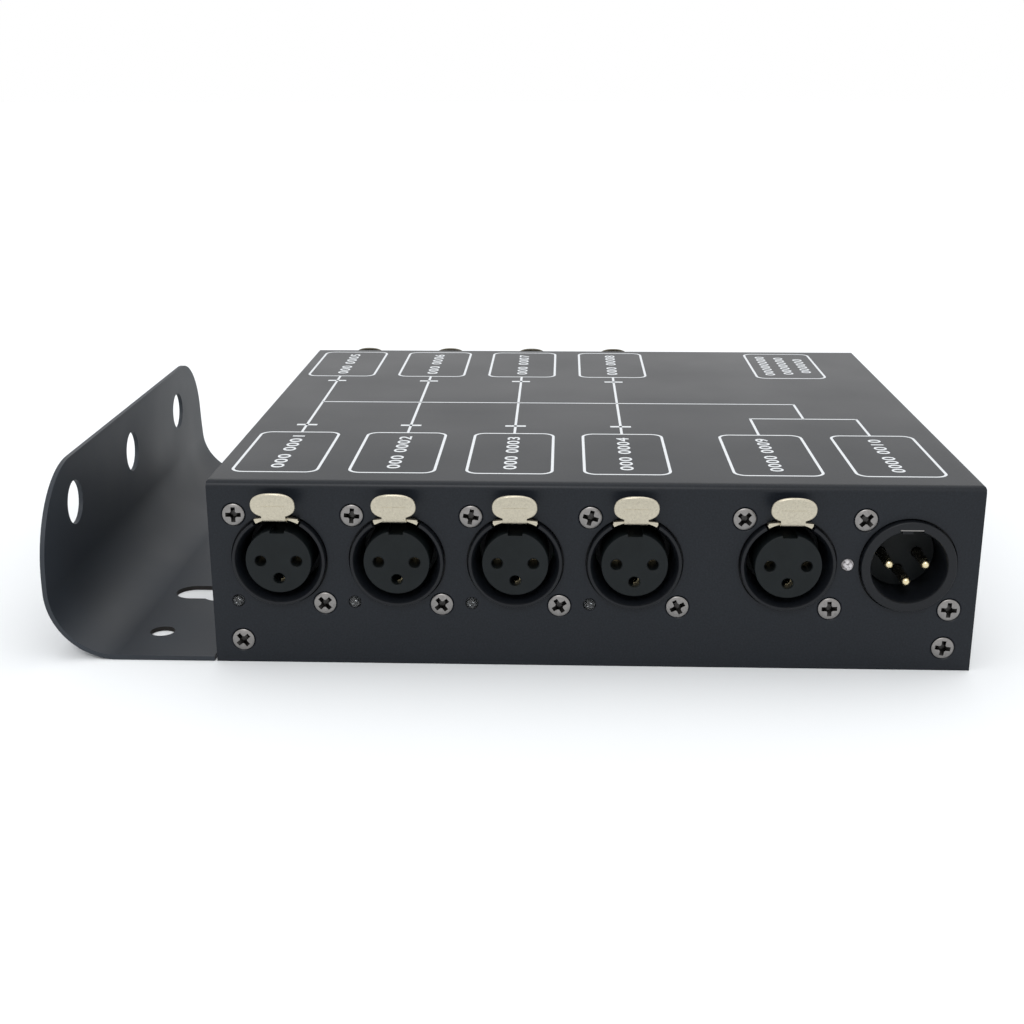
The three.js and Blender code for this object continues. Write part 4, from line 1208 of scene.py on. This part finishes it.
class SPLITTER_OT_input(SplitterOperator, Operator):
    """Build the input plug: body, insert, pins and strike"""

    bl_idname = "splitter.input"
    bl_label = "Input plug"

    def shell(self):
        """The body: flange and barrel, with the notch for a cable's latch and the key in the bore."""
        size = sizes()
        mouth_depth = 1.0 * MM
        notch_half, notch_ends, notch_depth = 2.9 * MM, (-2.6 * MM, 2.2 * MM), 0.3 * MM
        key_half, key_ends, key_height, lap = 1.3 * MM, (2.5 * MM, 9.5 * MM), 1.8 * MM, 0.3 * MM
        bore = size.input_bore
        body = barrel(bore, size.input_mouth, mouth_depth, size.input_proud)
        clear_bore = rod(0, 0, (bore + size.ring) / 2, 0, size.shell_depth, size.ring_steps)
        body = joined(body, cut(flange(), clear_bore))
        notch = block((-notch_half, notch_half), notch_ends, (0.0, size.input_mouth + notch_depth))
        body = cut(body, notch)
        return joined(body, block((-key_half, key_half), key_ends, (bore - key_height, bore + lap)))

    def insert(self):
        """The disc that carries the pins."""
        size = sizes()
        front, rear = 10.5 * MM, 14 * MM
        gap, pin_gap = 0.35 * MM, 0.2 * MM
        disc = rod(0, 0, size.input_bore - gap, front, rear, size.ring_steps)
        hole = size.pin + pin_gap
        holes = [rod(x, z, hole, front - OVERRUN, rear + OVERRUN, 24) for x, z in contact_places()]
        return cut(disc, *holes)

    def pin(self):
        """A pin with a round tip, whose shank is marked for painted shade."""
        size = sizes()
        behind = 1 * MM
        tip, rear = 0.0, size.shell_depth + behind
        dome = arc(0.0, tip + size.pin, size.pin, -UP, 0, 8)
        dome[0] = (0.0, tip)
        shank = [(size.pin, tip + 2 * size.pin), (size.pin, rear), (0.0, rear)]
        pin = spun(dome + shank, 28)
        shadow_faces(pin, lambda face: face.calc_center_median().y > tip + 2 * size.pin)
        return pin

    def strike(self):
        """The bright strip in the notch that a cable's latch bears on."""
        size = sizes()
        half, ends, sheet, sunk, rim = 2.85 * MM, (-1.5 * MM, 2.1 * MM), 0.3 * MM, 0.05 * MM, 0.06 * MM
        low = size.input_mouth - sunk
        return soften(block((-half, half), ends, (low, low + sheet)), rim)

    def execute(self, context):
        place = INPUT.matrix()
        parts = (
            ("body", self.shell(), "black_casting", "socket_shell", ("input_shell",)),
            ("core", self.insert(), "insert_plastic", "socket_insert", ("input_insert",)),
            ("strike", self.strike(), "screw_zinc", "latch_steel", ()),
        )
        for part, bm, finish, slot, nodes in parts:
            piece(f"input_{part}", bm, material(finish), place=place, stands_for=nodes)
        pin = self.pin()
        for number in range(1, 4):
            node = f"input_pin_{number}"
            piece(
                f"input_contact_{number}",
                pin.copy(),
                material("contact_gold"),
                place=node_place(node),
                stands_for=(node,),
            )
        return {"FINISHED"}


class SPLITTER_OT_screws(SplitterOperator, Operator):
    """Build the cross-recessed countersunk screws"""

    bl_idname = "splitter.screws"
    bl_label = "Screws"

    def screw(self, shank_end):
        """A countersunk screw with a low dome and a tapered cross recess."""
        size = sizes()
        head, shank = size.screw_head, size.screw_shank
        dome, face, shoulder = 0.28 * MM, -0.2 * MM, -0.16 * MM
        edge_front, edge_rear, cone_end = 0.02 * MM, 0.1 * MM, 1.45 * MM
        profile = [
            (0.0, face - dome * 0.2),
            (head * 0.55, face - dome * 0.12),
            (head * 0.9, shoulder),
            (head, edge_front),
            (head, edge_rear),
            (shank, cone_end),
            (shank, shank_end),
            (0.0, shank_end),
        ]
        body = spun(profile, 40)
        arm_half, arm_thick, recess_depth = 2.55 * MM, 0.6 * MM, 1.3 * MM
        taper_shares = (0.3, 1, 0.7)
        arms = []
        for turn in (0, UP):
            arm = block((-arm_half, arm_half), (-OVERRUN, recess_depth), (-arm_thick, arm_thick))
            deep = [vert for vert in arm.verts if vert.co.y > 0]
            bmesh.ops.scale(arm, vec=taper_shares, verts=deep)
            bmesh.ops.rotate(arm, verts=arm.verts, cent=(0, 0, 0), matrix=Matrix.Rotation(turn, 3, "Y"))
            arms.append(arm)
        wide, narrow, narrow_depth = 1.2 * MM, 0.75 * MM, 0.5 * MM
        cone = [(0.0, -OVERRUN), (wide, -OVERRUN), (narrow, narrow_depth), (0.0, recess_depth)]
        body = cut(body, joined(*arms, spun(cone, 16)))
        below, reach = -0.12 * MM, 2.2 * MM

        def is_recess(face):
            """Whether a face is a wall or the floor of the cross."""
            centre = face.calc_center_median()
            return centre.y > below and math.hypot(centre.x, centre.z) < reach

        # The cross's walls and floor are marked for painted shade.
        shadow_faces(body, is_recess)
        return body

    def execute(self, context):
        shank_end = 6.0 * MM
        screw, finish = self.screw(shank_end), material("screw_zinc")
        # Each screw is left at an angle of its own, as hand-driven screws are.
        turn_step = math.radians(137.5)
        count = 0
        for name, place in ALL_PLACES.items():
            for side, (x, z) in zip(("upper", "lower"), screw_places()):
                turn = Matrix.Rotation(count * turn_step, 4, "Y")
                turned = place.matrix() @ Matrix.Translation((x, 0, z)) @ turn
                piece(f"{name}_{side}_screw", screw.copy(), finish, place=turned)
                count += 1
        for node in CASE_SCREWS:
            turn = Matrix.Rotation(count * turn_step, 4, "Y")
            name = node.replace("case_screw", "case_fixing")
            turned = node_place(node) @ turn
            piece(name, screw.copy(), finish, place=turned, stands_for=(node,))
            count += 1
        return {"FINISHED"}


class SPLITTER_OT_lamps(SplitterOperator, Operator):
    """Build the indicator lamps"""

    bl_idname = "splitter.lamps"
    bl_label = "Lamps"

    def lens(self):
        """A lamp's body: a round bar with a domed front."""
        size = sizes()
        tip, rear = -1.2 * MM, 4.2 * MM
        dome = arc(0.0, tip + size.lamp, size.lamp, -UP, 0, 10)
        dome[0] = (0.0, tip)
        return spun(dome + [(size.lamp, rear), (0.0, rear)], 32)

    def leads(self):
        """A lamp's two square leads."""
        half, apart, ends = 0.25 * MM, 0.635 * MM, (4.3 * MM, 13.9 * MM)
        leads = [block((x - half, x + half), ends, (-half, half)) for x in (-apart, apart)]
        return merged(*leads)

    def cup(self):
        """A near-black cup inside the lens, behind its dome: painted shade that makes the lens look dark."""
        size = sizes()
        skin, front, floor, rear = 0.1 * MM, 0.15 * MM, 0.5 * MM, 1.9 * MM
        wall = size.lamp - skin
        return spun([(0.0, floor), (wall, front), (wall, rear), (0.0, rear)], 24)

    def frame(self):
        """The bright post and anvil that the lamp's leads end in, cast into the dome."""
        depth, rim = (-0.35 * MM, 0.6 * MM), 0.08 * MM
        anvil = block((-0.5 * MM, -0.22 * MM), depth, (-0.42 * MM, -0.24 * MM))
        post = block((0.12 * MM, 0.48 * MM), depth, (0.22 * MM, 0.42 * MM))
        return soften(merged(anvil, post), rim)

    def execute(self, context):
        lens, leads, cup, frame_ends = self.lens(), self.leads(), self.cup(), self.frame()
        for node in LAMPS:
            place = node_place(node)
            finish = material("lit_lens" if node == "input_lamp" else "clear_lens")
            piece(f"{node}_lens", lens.copy(), finish, place=place, stands_for=(node,))
            piece(f"{node}_leads", leads.copy(), material("screw_zinc"), place=place)
            piece(f"{node}_cup", cup.copy(), material("painted_shade_cup"), place=place)
            piece(f"{node}_frame", frame_ends.copy(), material("lamp_frame"), place=place)
        return {"FINISHED"}


class SPLITTER_OT_inlet(SplitterOperator, Operator):
    """Build the mains inlet and its blades"""

    bl_idname = "splitter.inlet"
    bl_label = "Mains inlet"

    def blade_slot(self, node):
        """A tool for the slot in the inlet's rear wall that a blade passes through."""
        slack, depth = 0.2 * MM, 3 * MM
        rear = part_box("mains_inlet")[0].y
        first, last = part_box(node)
        x = (first.x - slack, last.x + slack)
        z = (first.z - slack, last.z + slack)
        return block(x, (rear - OVERRUN, rear + depth), z)

    def blade(self, node):
        """A flat blade with rounded edges."""
        rim = 0.3 * MM
        first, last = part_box(node)
        return soften(block((first.x, last.x), (first.y, last.y), (first.z, last.z)), rim)

    def body(self, screw_x, blades):
        """The flange and the recess behind it, with holes for the screws and the blades."""
        size = sizes()
        corner, rim, lap = 4 * MM, 0.5 * MM, 1.3 * MM
        wall, floor, hole, near = 1.8 * MM, 2 * MM, 1.6 * MM, 0.01 * MM
        low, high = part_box("mains_inlet")
        middle = centre_of("mains_inlet").z
        face = COVER_HIGH.y + size.seam

        def is_outside(edge):
            """Whether an edge lies on the flange's outer face."""
            return all(vert.co.y > high.y - near for vert in edge.verts)

        flange_plate = extruded(rounded((low.x, high.x), (low.z, high.z), corner, 12), "XZ", face, high.y)
        soften(flange_plate, rim, segments=3, where=is_outside)
        inlet = joined(flange_plate, extruded(inlet_outline(0.0), "XZ", low.y, face + lap))
        tools = [extruded(inlet_outline(-wall), "XZ", low.y + floor, high.y + OVERRUN)]
        for x in screw_x:
            tools.append(rod(x, middle, hole, COVER_HIGH.y - OVERRUN, high.y + OVERRUN, 24))
        tools += [self.blade_slot(node) for node in blades]
        return cut(inlet, *tools)

    def screw(self):
        """A domed screw with a plain cross, its head standing on the origin."""
        dome = [(0.0, 1.0 * MM), (1.6 * MM, 0.9 * MM), (2.6 * MM, 0.35 * MM), (2.7 * MM, 0.0)]
        shank, end = 1.4 * MM, -7 * MM
        long, short, depth = (-1.3 * MM, 1.3 * MM), (-0.3 * MM, 0.3 * MM), (0.4 * MM, 2 * MM)
        head = spun(dome + [(shank, 0.0), (shank, end), (0.0, end)], 32)
        return cut(head, joined(block(long, depth, short), block(short, depth, long)))

    def execute(self, context):
        centre = centre_of("mains_inlet")
        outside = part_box("mains_inlet")[1].y
        apart = 20 * MM
        screw_x = [centre.x + side * apart for side in (-1, 1)]
        blades = [f"inlet_blade_{way}" for way in ("line", "neutral", "earth")]
        for node in blades:
            name = node.replace("blade", "contact")
            piece(name, self.blade(node), material("blade_nickel"), stands_for=(node,))
        body, plastic = self.body(screw_x, blades), material("inlet_plastic")
        piece("mains_inlet_body", body, plastic, stands_for=("mains_inlet",))
        for number, x in enumerate(screw_x, 1):
            # Each is left at an angle of its own.
            turn = Matrix.Rotation(number, 4, "Y")
            place = Matrix.Translation((x, outside, centre.z)) @ turn
            piece(f"inlet_screw_{number}", self.screw(), material("screw_zinc"), place=place)
        return {"FINISHED"}


class SPLITTER_OT_print(SplitterOperator, Operator):
    """Print the wiring diagram on the cover: boxes, lines and plain numbers"""

    bl_idname = "splitter.print"
    bl_label = "Printed diagram"

    def outline(self, x, y):
        """A printed box: an outline of constant width with round corners."""
        size = sizes()
        bm = loop(rounded(x, y, size.print_corner, 10), "XY")
        inset = bmesh.ops.inset_region(
            bm,
            faces=bm.faces[:],
            thickness=size.print_line,
            use_boundary=True,
            use_even_offset=True,
        )
        ring = set(inset["faces"])
        bmesh.ops.delete(bm, geom=[face for face in bm.faces if face not in ring], context="FACES")
        return bm

    def line(self, start, end, width):
        """A straight printed line between two points."""
        half = width / 2
        a, b = Vector(start), Vector(end)
        along = (b - a).normalized()
        side = Vector((-along.y, along.x)) * half
        corners = [a - side, b - side, b + side, a + side]
        return loop([tuple(corner) for corner in corners], "XY")

    def number(self, text, x, y, height, length):
        """A plain number of the given height and length, read from the right-hand side, as a flat mesh."""
        spacing, boldness_share = 1.15, 0.015
        curve = bpy.data.curves.new("number", "FONT")
        curve.body = text
        curve.size = height
        curve.space_character = spacing
        curve.offset = height * boldness_share
        obj = bpy.data.objects.new("number", curve)
        bpy.context.scene.collection.objects.link(obj)
        evaluated = obj.evaluated_get(bpy.context.evaluated_depsgraph_get())
        bm = bmesh.new()
        bm.from_mesh(evaluated.to_mesh())
        evaluated.to_mesh_clear()
        bpy.data.objects.remove(obj)
        bpy.data.curves.remove(curve)
        bmesh.ops.remove_doubles(bm, verts=bm.verts, dist=WELD)
        low = [min(vert.co[axis] for vert in bm.verts) for axis in (0, 1)]
        high = [max(vert.co[axis] for vert in bm.verts) for axis in (0, 1)]
        middle = Vector(((low[0] + high[0]) / 2, (low[1] + high[1]) / 2, 0))
        stretch = Matrix.Diagonal((length / (high[0] - low[0]), height / (high[1] - low[1]), 1, 1))
        turn = Matrix.Rotation(UP, 4, "Z")
        place = Matrix.Translation((x, y, 0)) @ turn @ stretch @ Matrix.Translation(-middle)
        bmesh.ops.transform(bm, matrix=place, verts=bm.verts)
        return bm

    def film(self, name, *parts):
        """Gives flat print its thickness and lays it on the cover, a quarter of it sunk in."""
        size = sizes()
        bm = merged(*parts)
        bmesh.ops.recalc_face_normals(bm, faces=bm.faces[:])
        made = bmesh.ops.extrude_face_region(bm, geom=bm.faces[:])
        top = [item for item in made["geom"] if isinstance(item, bmesh.types.BMVert)]
        bmesh.ops.translate(bm, verts=top, vec=(0, 0, size.print_film))
        base = cover_top() - size.print_film / 4
        bmesh.ops.translate(bm, verts=bm.verts, vec=(0, 0, base))
        piece(name, bm, material("ink"))

    def execute(self, context):
        left, front = COVER_LOW.x, COVER_LOW.y
        width = sizes().print_line
        # The boxes: both ends of each row, half of a box's width, and each row's first middle and pitch
        front_row = (front + 7.95 * MM, front + 49.2 * MM)
        rear_row = (front + 123.55 * MM, front + 164.85 * MM)
        half, wide_half = 11.1 * MM, 11.4 * MM
        front_first, front_pitch = left + 15.2 * MM, 29.57 * MM
        rear_first, rear_pitch = left + 14.6 * MM, 29.75 * MM
        drops = (left + 141.5 * MM, left + 171.8 * MM)
        note_middle = left + 162.0 * MM
        # The lines: the bus across the middle, its branch to the last two boxes, and the tick marks
        bus_start, bus_y = left + 14.9 * MM, front + 86.4 * MM
        bend_x, cross_y = left + 156.7 * MM, front + 68.0 * MM
        front_tick, rear_tick = front + 57.4 * MM, front + 116.8 * MM
        tick, tick_width = 2.9 * MM, 1.5 * MM
        # The numbers' heights and lengths
        digit, row_length = 3.4 * MM, 32.5 * MM
        note_digit, note_pitch = 3.2 * MM, 6.2 * MM
        note_rows = (("00000000", 31 * MM), ("0000000", 28 * MM), ("000000", 23 * MM))

        lines = []
        for step in range(4):
            x = front_first + step * front_pitch
            rear_x = rear_first + step * rear_pitch
            for label, middle_x, row in ((step + 1, x, front_row), (step + 5, rear_x, rear_row)):
                self.film(f"print_box_{label}", self.outline((middle_x - half, middle_x + half), row))
                number = self.number(f"000 000{label}", middle_x, sum(row) / 2, digit, row_length)
                self.film(f"print_number_{label}", number)
            lines.append(self.line((x, front_row[1]), (rear_x, rear_row[0]), width))
            for tick_x, y in ((x, front_tick), (rear_x, rear_tick)):
                lines.append(self.line((tick_x - tick, y), (tick_x + tick, y), tick_width))
        for name, x in zip(("output", "input"), drops):
            self.film(f"print_box_{name}", self.outline((x - wide_half, x + wide_half), front_row))
        for label, x in zip((9, 10), drops):
            number = self.number(f"0000 {label:04}", x, sum(front_row) / 2, digit, row_length)
            self.film(f"print_number_{label}", number)
        note_x = (note_middle - wide_half, note_middle + wide_half)
        self.film("print_box_note", self.outline(note_x, rear_row))
        rows = [
            self.number(text, note_middle + (row - 1) * note_pitch, sum(rear_row) / 2, note_digit, span)
            for row, (text, span) in enumerate(note_rows)
        ]
        self.film("print_note_rows", *rows)
        lines.append(self.line((bus_start, bus_y), (bend_x + width / 2, bus_y), width))
        lines.append(self.line((bend_x, bus_y), (bend_x, cross_y), width))
        lines.append(self.line((drops[0] - width / 2, cross_y), (drops[1] + width / 2, cross_y), width))
        for x in drops:
            lines.append(self.line((x, cross_y), (x, front_row[1]), width))
        for number, line in enumerate(lines, 1):
            self.film(f"print_line_{number}", line)
        return {"FINISHED"}


class SPLITTER_OT_inside(SplitterOperator, Operator):
    """Give the boards, supply parts and cables inside their finishes"""

    bl_idname = "splitter.inside"
    bl_label = "Inside"

    def execute(self, context):
        finishes = {
            "main_board": "laminate",
            "front_socket_board": "laminate",
            "rear_socket_board": "laminate",
            "front_ribbon": "ribbon",
            "rear_ribbon": "ribbon",
            "transformer": "core",
            "reservoir_capacitor": "sleeve",
            "mains_fuse": "clear_lens",
            "mains_lead": "sheath",
            **{f"standoff_{number}": "screw_zinc" for number in range(1, 5)},
        }
        for node, finish in finishes.items():
            dress(node, material(finish))
        return {"FINISHED"}


class SPLITTER_OT_stage(SplitterOperator, Operator):
    """Set up the floor, the light and the camera"""

    bl_idname = "splitter.stage"
    bl_label = "Stage"

    def floor(self):
        """A wide, plain floor just below the object."""
        half_width, gap = 6.0, 0.05 * MM
        bm = bmesh.new()
        bmesh.ops.create_grid(bm, x_segments=1, y_segments=1, size=half_width)
        mesh = bpy.data.meshes.new("floor")
        bmesh.ops.translate(bm, verts=bm.verts, vec=(0, 0, PLATE_LOW.z - gap))
        bm.to_mesh(mesh)
        bm.free()
        floor = bpy.data.objects.new("floor", mesh)
        bpy.context.scene.collection.objects.link(floor)
        finish = Finish("studio_floor")
        finish.set(Base_Color=tuple(colours().floor), Roughness=0.9, Specular_IOR_Level=0.1)
        mesh.materials.append(finish.material)

    def world(self):
        """Soft light from all round. The camera and reflections see it as white."""
        world = bpy.data.worlds.new("studio")
        bpy.context.scene.world = world
        world.use_nodes = True
        tree = world.node_tree
        tree.nodes.clear()
        path = tree.nodes.new("ShaderNodeLightPath")
        either = tree.nodes.new("ShaderNodeMath")
        either.operation = "MAXIMUM"
        tree.links.new(path.outputs["Is Camera Ray"], either.inputs[0])
        tree.links.new(path.outputs["Is Glossy Ray"], either.inputs[1])
        seen = tree.nodes.new("ShaderNodeMath")
        seen.operation = "MAXIMUM"
        tree.links.new(either.outputs[0], seen.inputs[0])
        tree.links.new(path.outputs["Is Transmission Ray"], seen.inputs[1])
        light = tree.nodes.new("ShaderNodeBackground")
        light.inputs["Color"].default_value = (0.955, 0.99, 1.02, 1)
        light.inputs["Strength"].default_value = bpy.context.scene.splitter_studio.sky
        backdrop = tree.nodes.new("ShaderNodeBackground")
        backdrop.inputs["Color"].default_value = (1, 1, 1, 1)
        mix = tree.nodes.new("ShaderNodeMixShader")
        tree.links.new(seen.outputs[0], mix.inputs[0])
        tree.links.new(light.outputs[0], mix.inputs[1])
        tree.links.new(backdrop.outputs[0], mix.inputs[2])
        output = tree.nodes.new("ShaderNodeOutputWorld")
        tree.links.new(mix.outputs[0], output.inputs[0])

    def sun(self, name, strength, width, way):
        """A light from far off, which is softer the wider it is."""
        data = bpy.data.lights.new(name, "SUN")
        data.energy = strength
        data.angle = width
        sun = bpy.data.objects.new(name, data)
        sun.rotation_euler = Vector(way).to_track_quat("-Z", "Y").to_euler()
        bpy.context.scene.collection.objects.link(sun)

    def camera(self):
        """The camera that took the photo, as far as the photo tells."""
        studio = bpy.context.scene.splitter_studio
        data = bpy.data.cameras.new("camera")
        data.sensor_width = 36.0
        data.lens = studio.focal
        data.clip_start, data.clip_end = 0.01, 50.0
        camera = bpy.data.objects.new("camera", data)
        way = Vector(studio.aim) - Vector(studio.camera)
        look = way.to_track_quat("-Z", "Y").to_matrix().to_4x4()
        roll = Matrix.Rotation(studio.roll, 4, "Z")
        camera.matrix_world = Matrix.Translation(studio.camera) @ look @ roll
        bpy.context.scene.collection.objects.link(camera)
        bpy.context.scene.camera = camera

    def execute(self, context):
        context.scene.view_settings.view_transform = "Standard"
        self.floor()
        self.world()
        studio = context.scene.splitter_studio
        self.sun("overhead", studio.sun, studio.sun_width, studio.sun_way)
        self.sun("front", studio.key, studio.key_width, studio.key_way)
        self.camera()
        return {"FINISHED"}


class SPLITTER_PT_panel(Panel):
    """The splitter's pieces, sizes and colours"""

    bl_idname = "SPLITTER_PT_panel"
    bl_label = "Signal splitter"
    bl_space_type = "VIEW_3D"
    bl_region_type = "UI"
    bl_category = "Splitter"

    def draw(self, context):
        layout, scene = self.layout, context.scene
        for operator in OPERATORS:
            layout.operator(operator.bl_idname)
        for group in (scene.splitter_sizes, scene.splitter_colours, scene.splitter_studio):
            box = layout.box()
            for name in group.bl_rna.properties.keys():
                if name not in ("rna_type", "name"):
                    box.prop(group, name)


OPERATORS = (
    SPLITTER_OT_cover,
    SPLITTER_OT_base_plate,
    SPLITTER_OT_outlets,
    SPLITTER_OT_latches,
    SPLITTER_OT_input,
    SPLITTER_OT_screws,
    SPLITTER_OT_lamps,
    SPLITTER_OT_inlet,
    SPLITTER_OT_print,
    SPLITTER_OT_inside,
    SPLITTER_OT_stage,
)
CLASSES = (SplitterSizes, SplitterColours, StudioSettings, *OPERATORS, SPLITTER_PT_panel)


def register():
    for cls in CLASSES:
        bpy.utils.register_class(cls)
    bpy.types.Scene.splitter_sizes = PointerProperty(type=SplitterSizes)
    bpy.types.Scene.splitter_colours = PointerProperty(type=SplitterColours)
    bpy.types.Scene.splitter_studio = PointerProperty(type=StudioSettings)


def unregister():
    del bpy.types.Scene.splitter_studio
    del bpy.types.Scene.splitter_colours
    del bpy.types.Scene.splitter_sizes
    for cls in reversed(CLASSES):
        bpy.utils.unregister_class(cls)


def main():
    """Builds everything."""
    register()
    for operator in OPERATORS:
        group, name = operator.bl_idname.split(".")
        getattr(getattr(bpy.ops, group), name)()


if __name__ == "__main__":
    main()
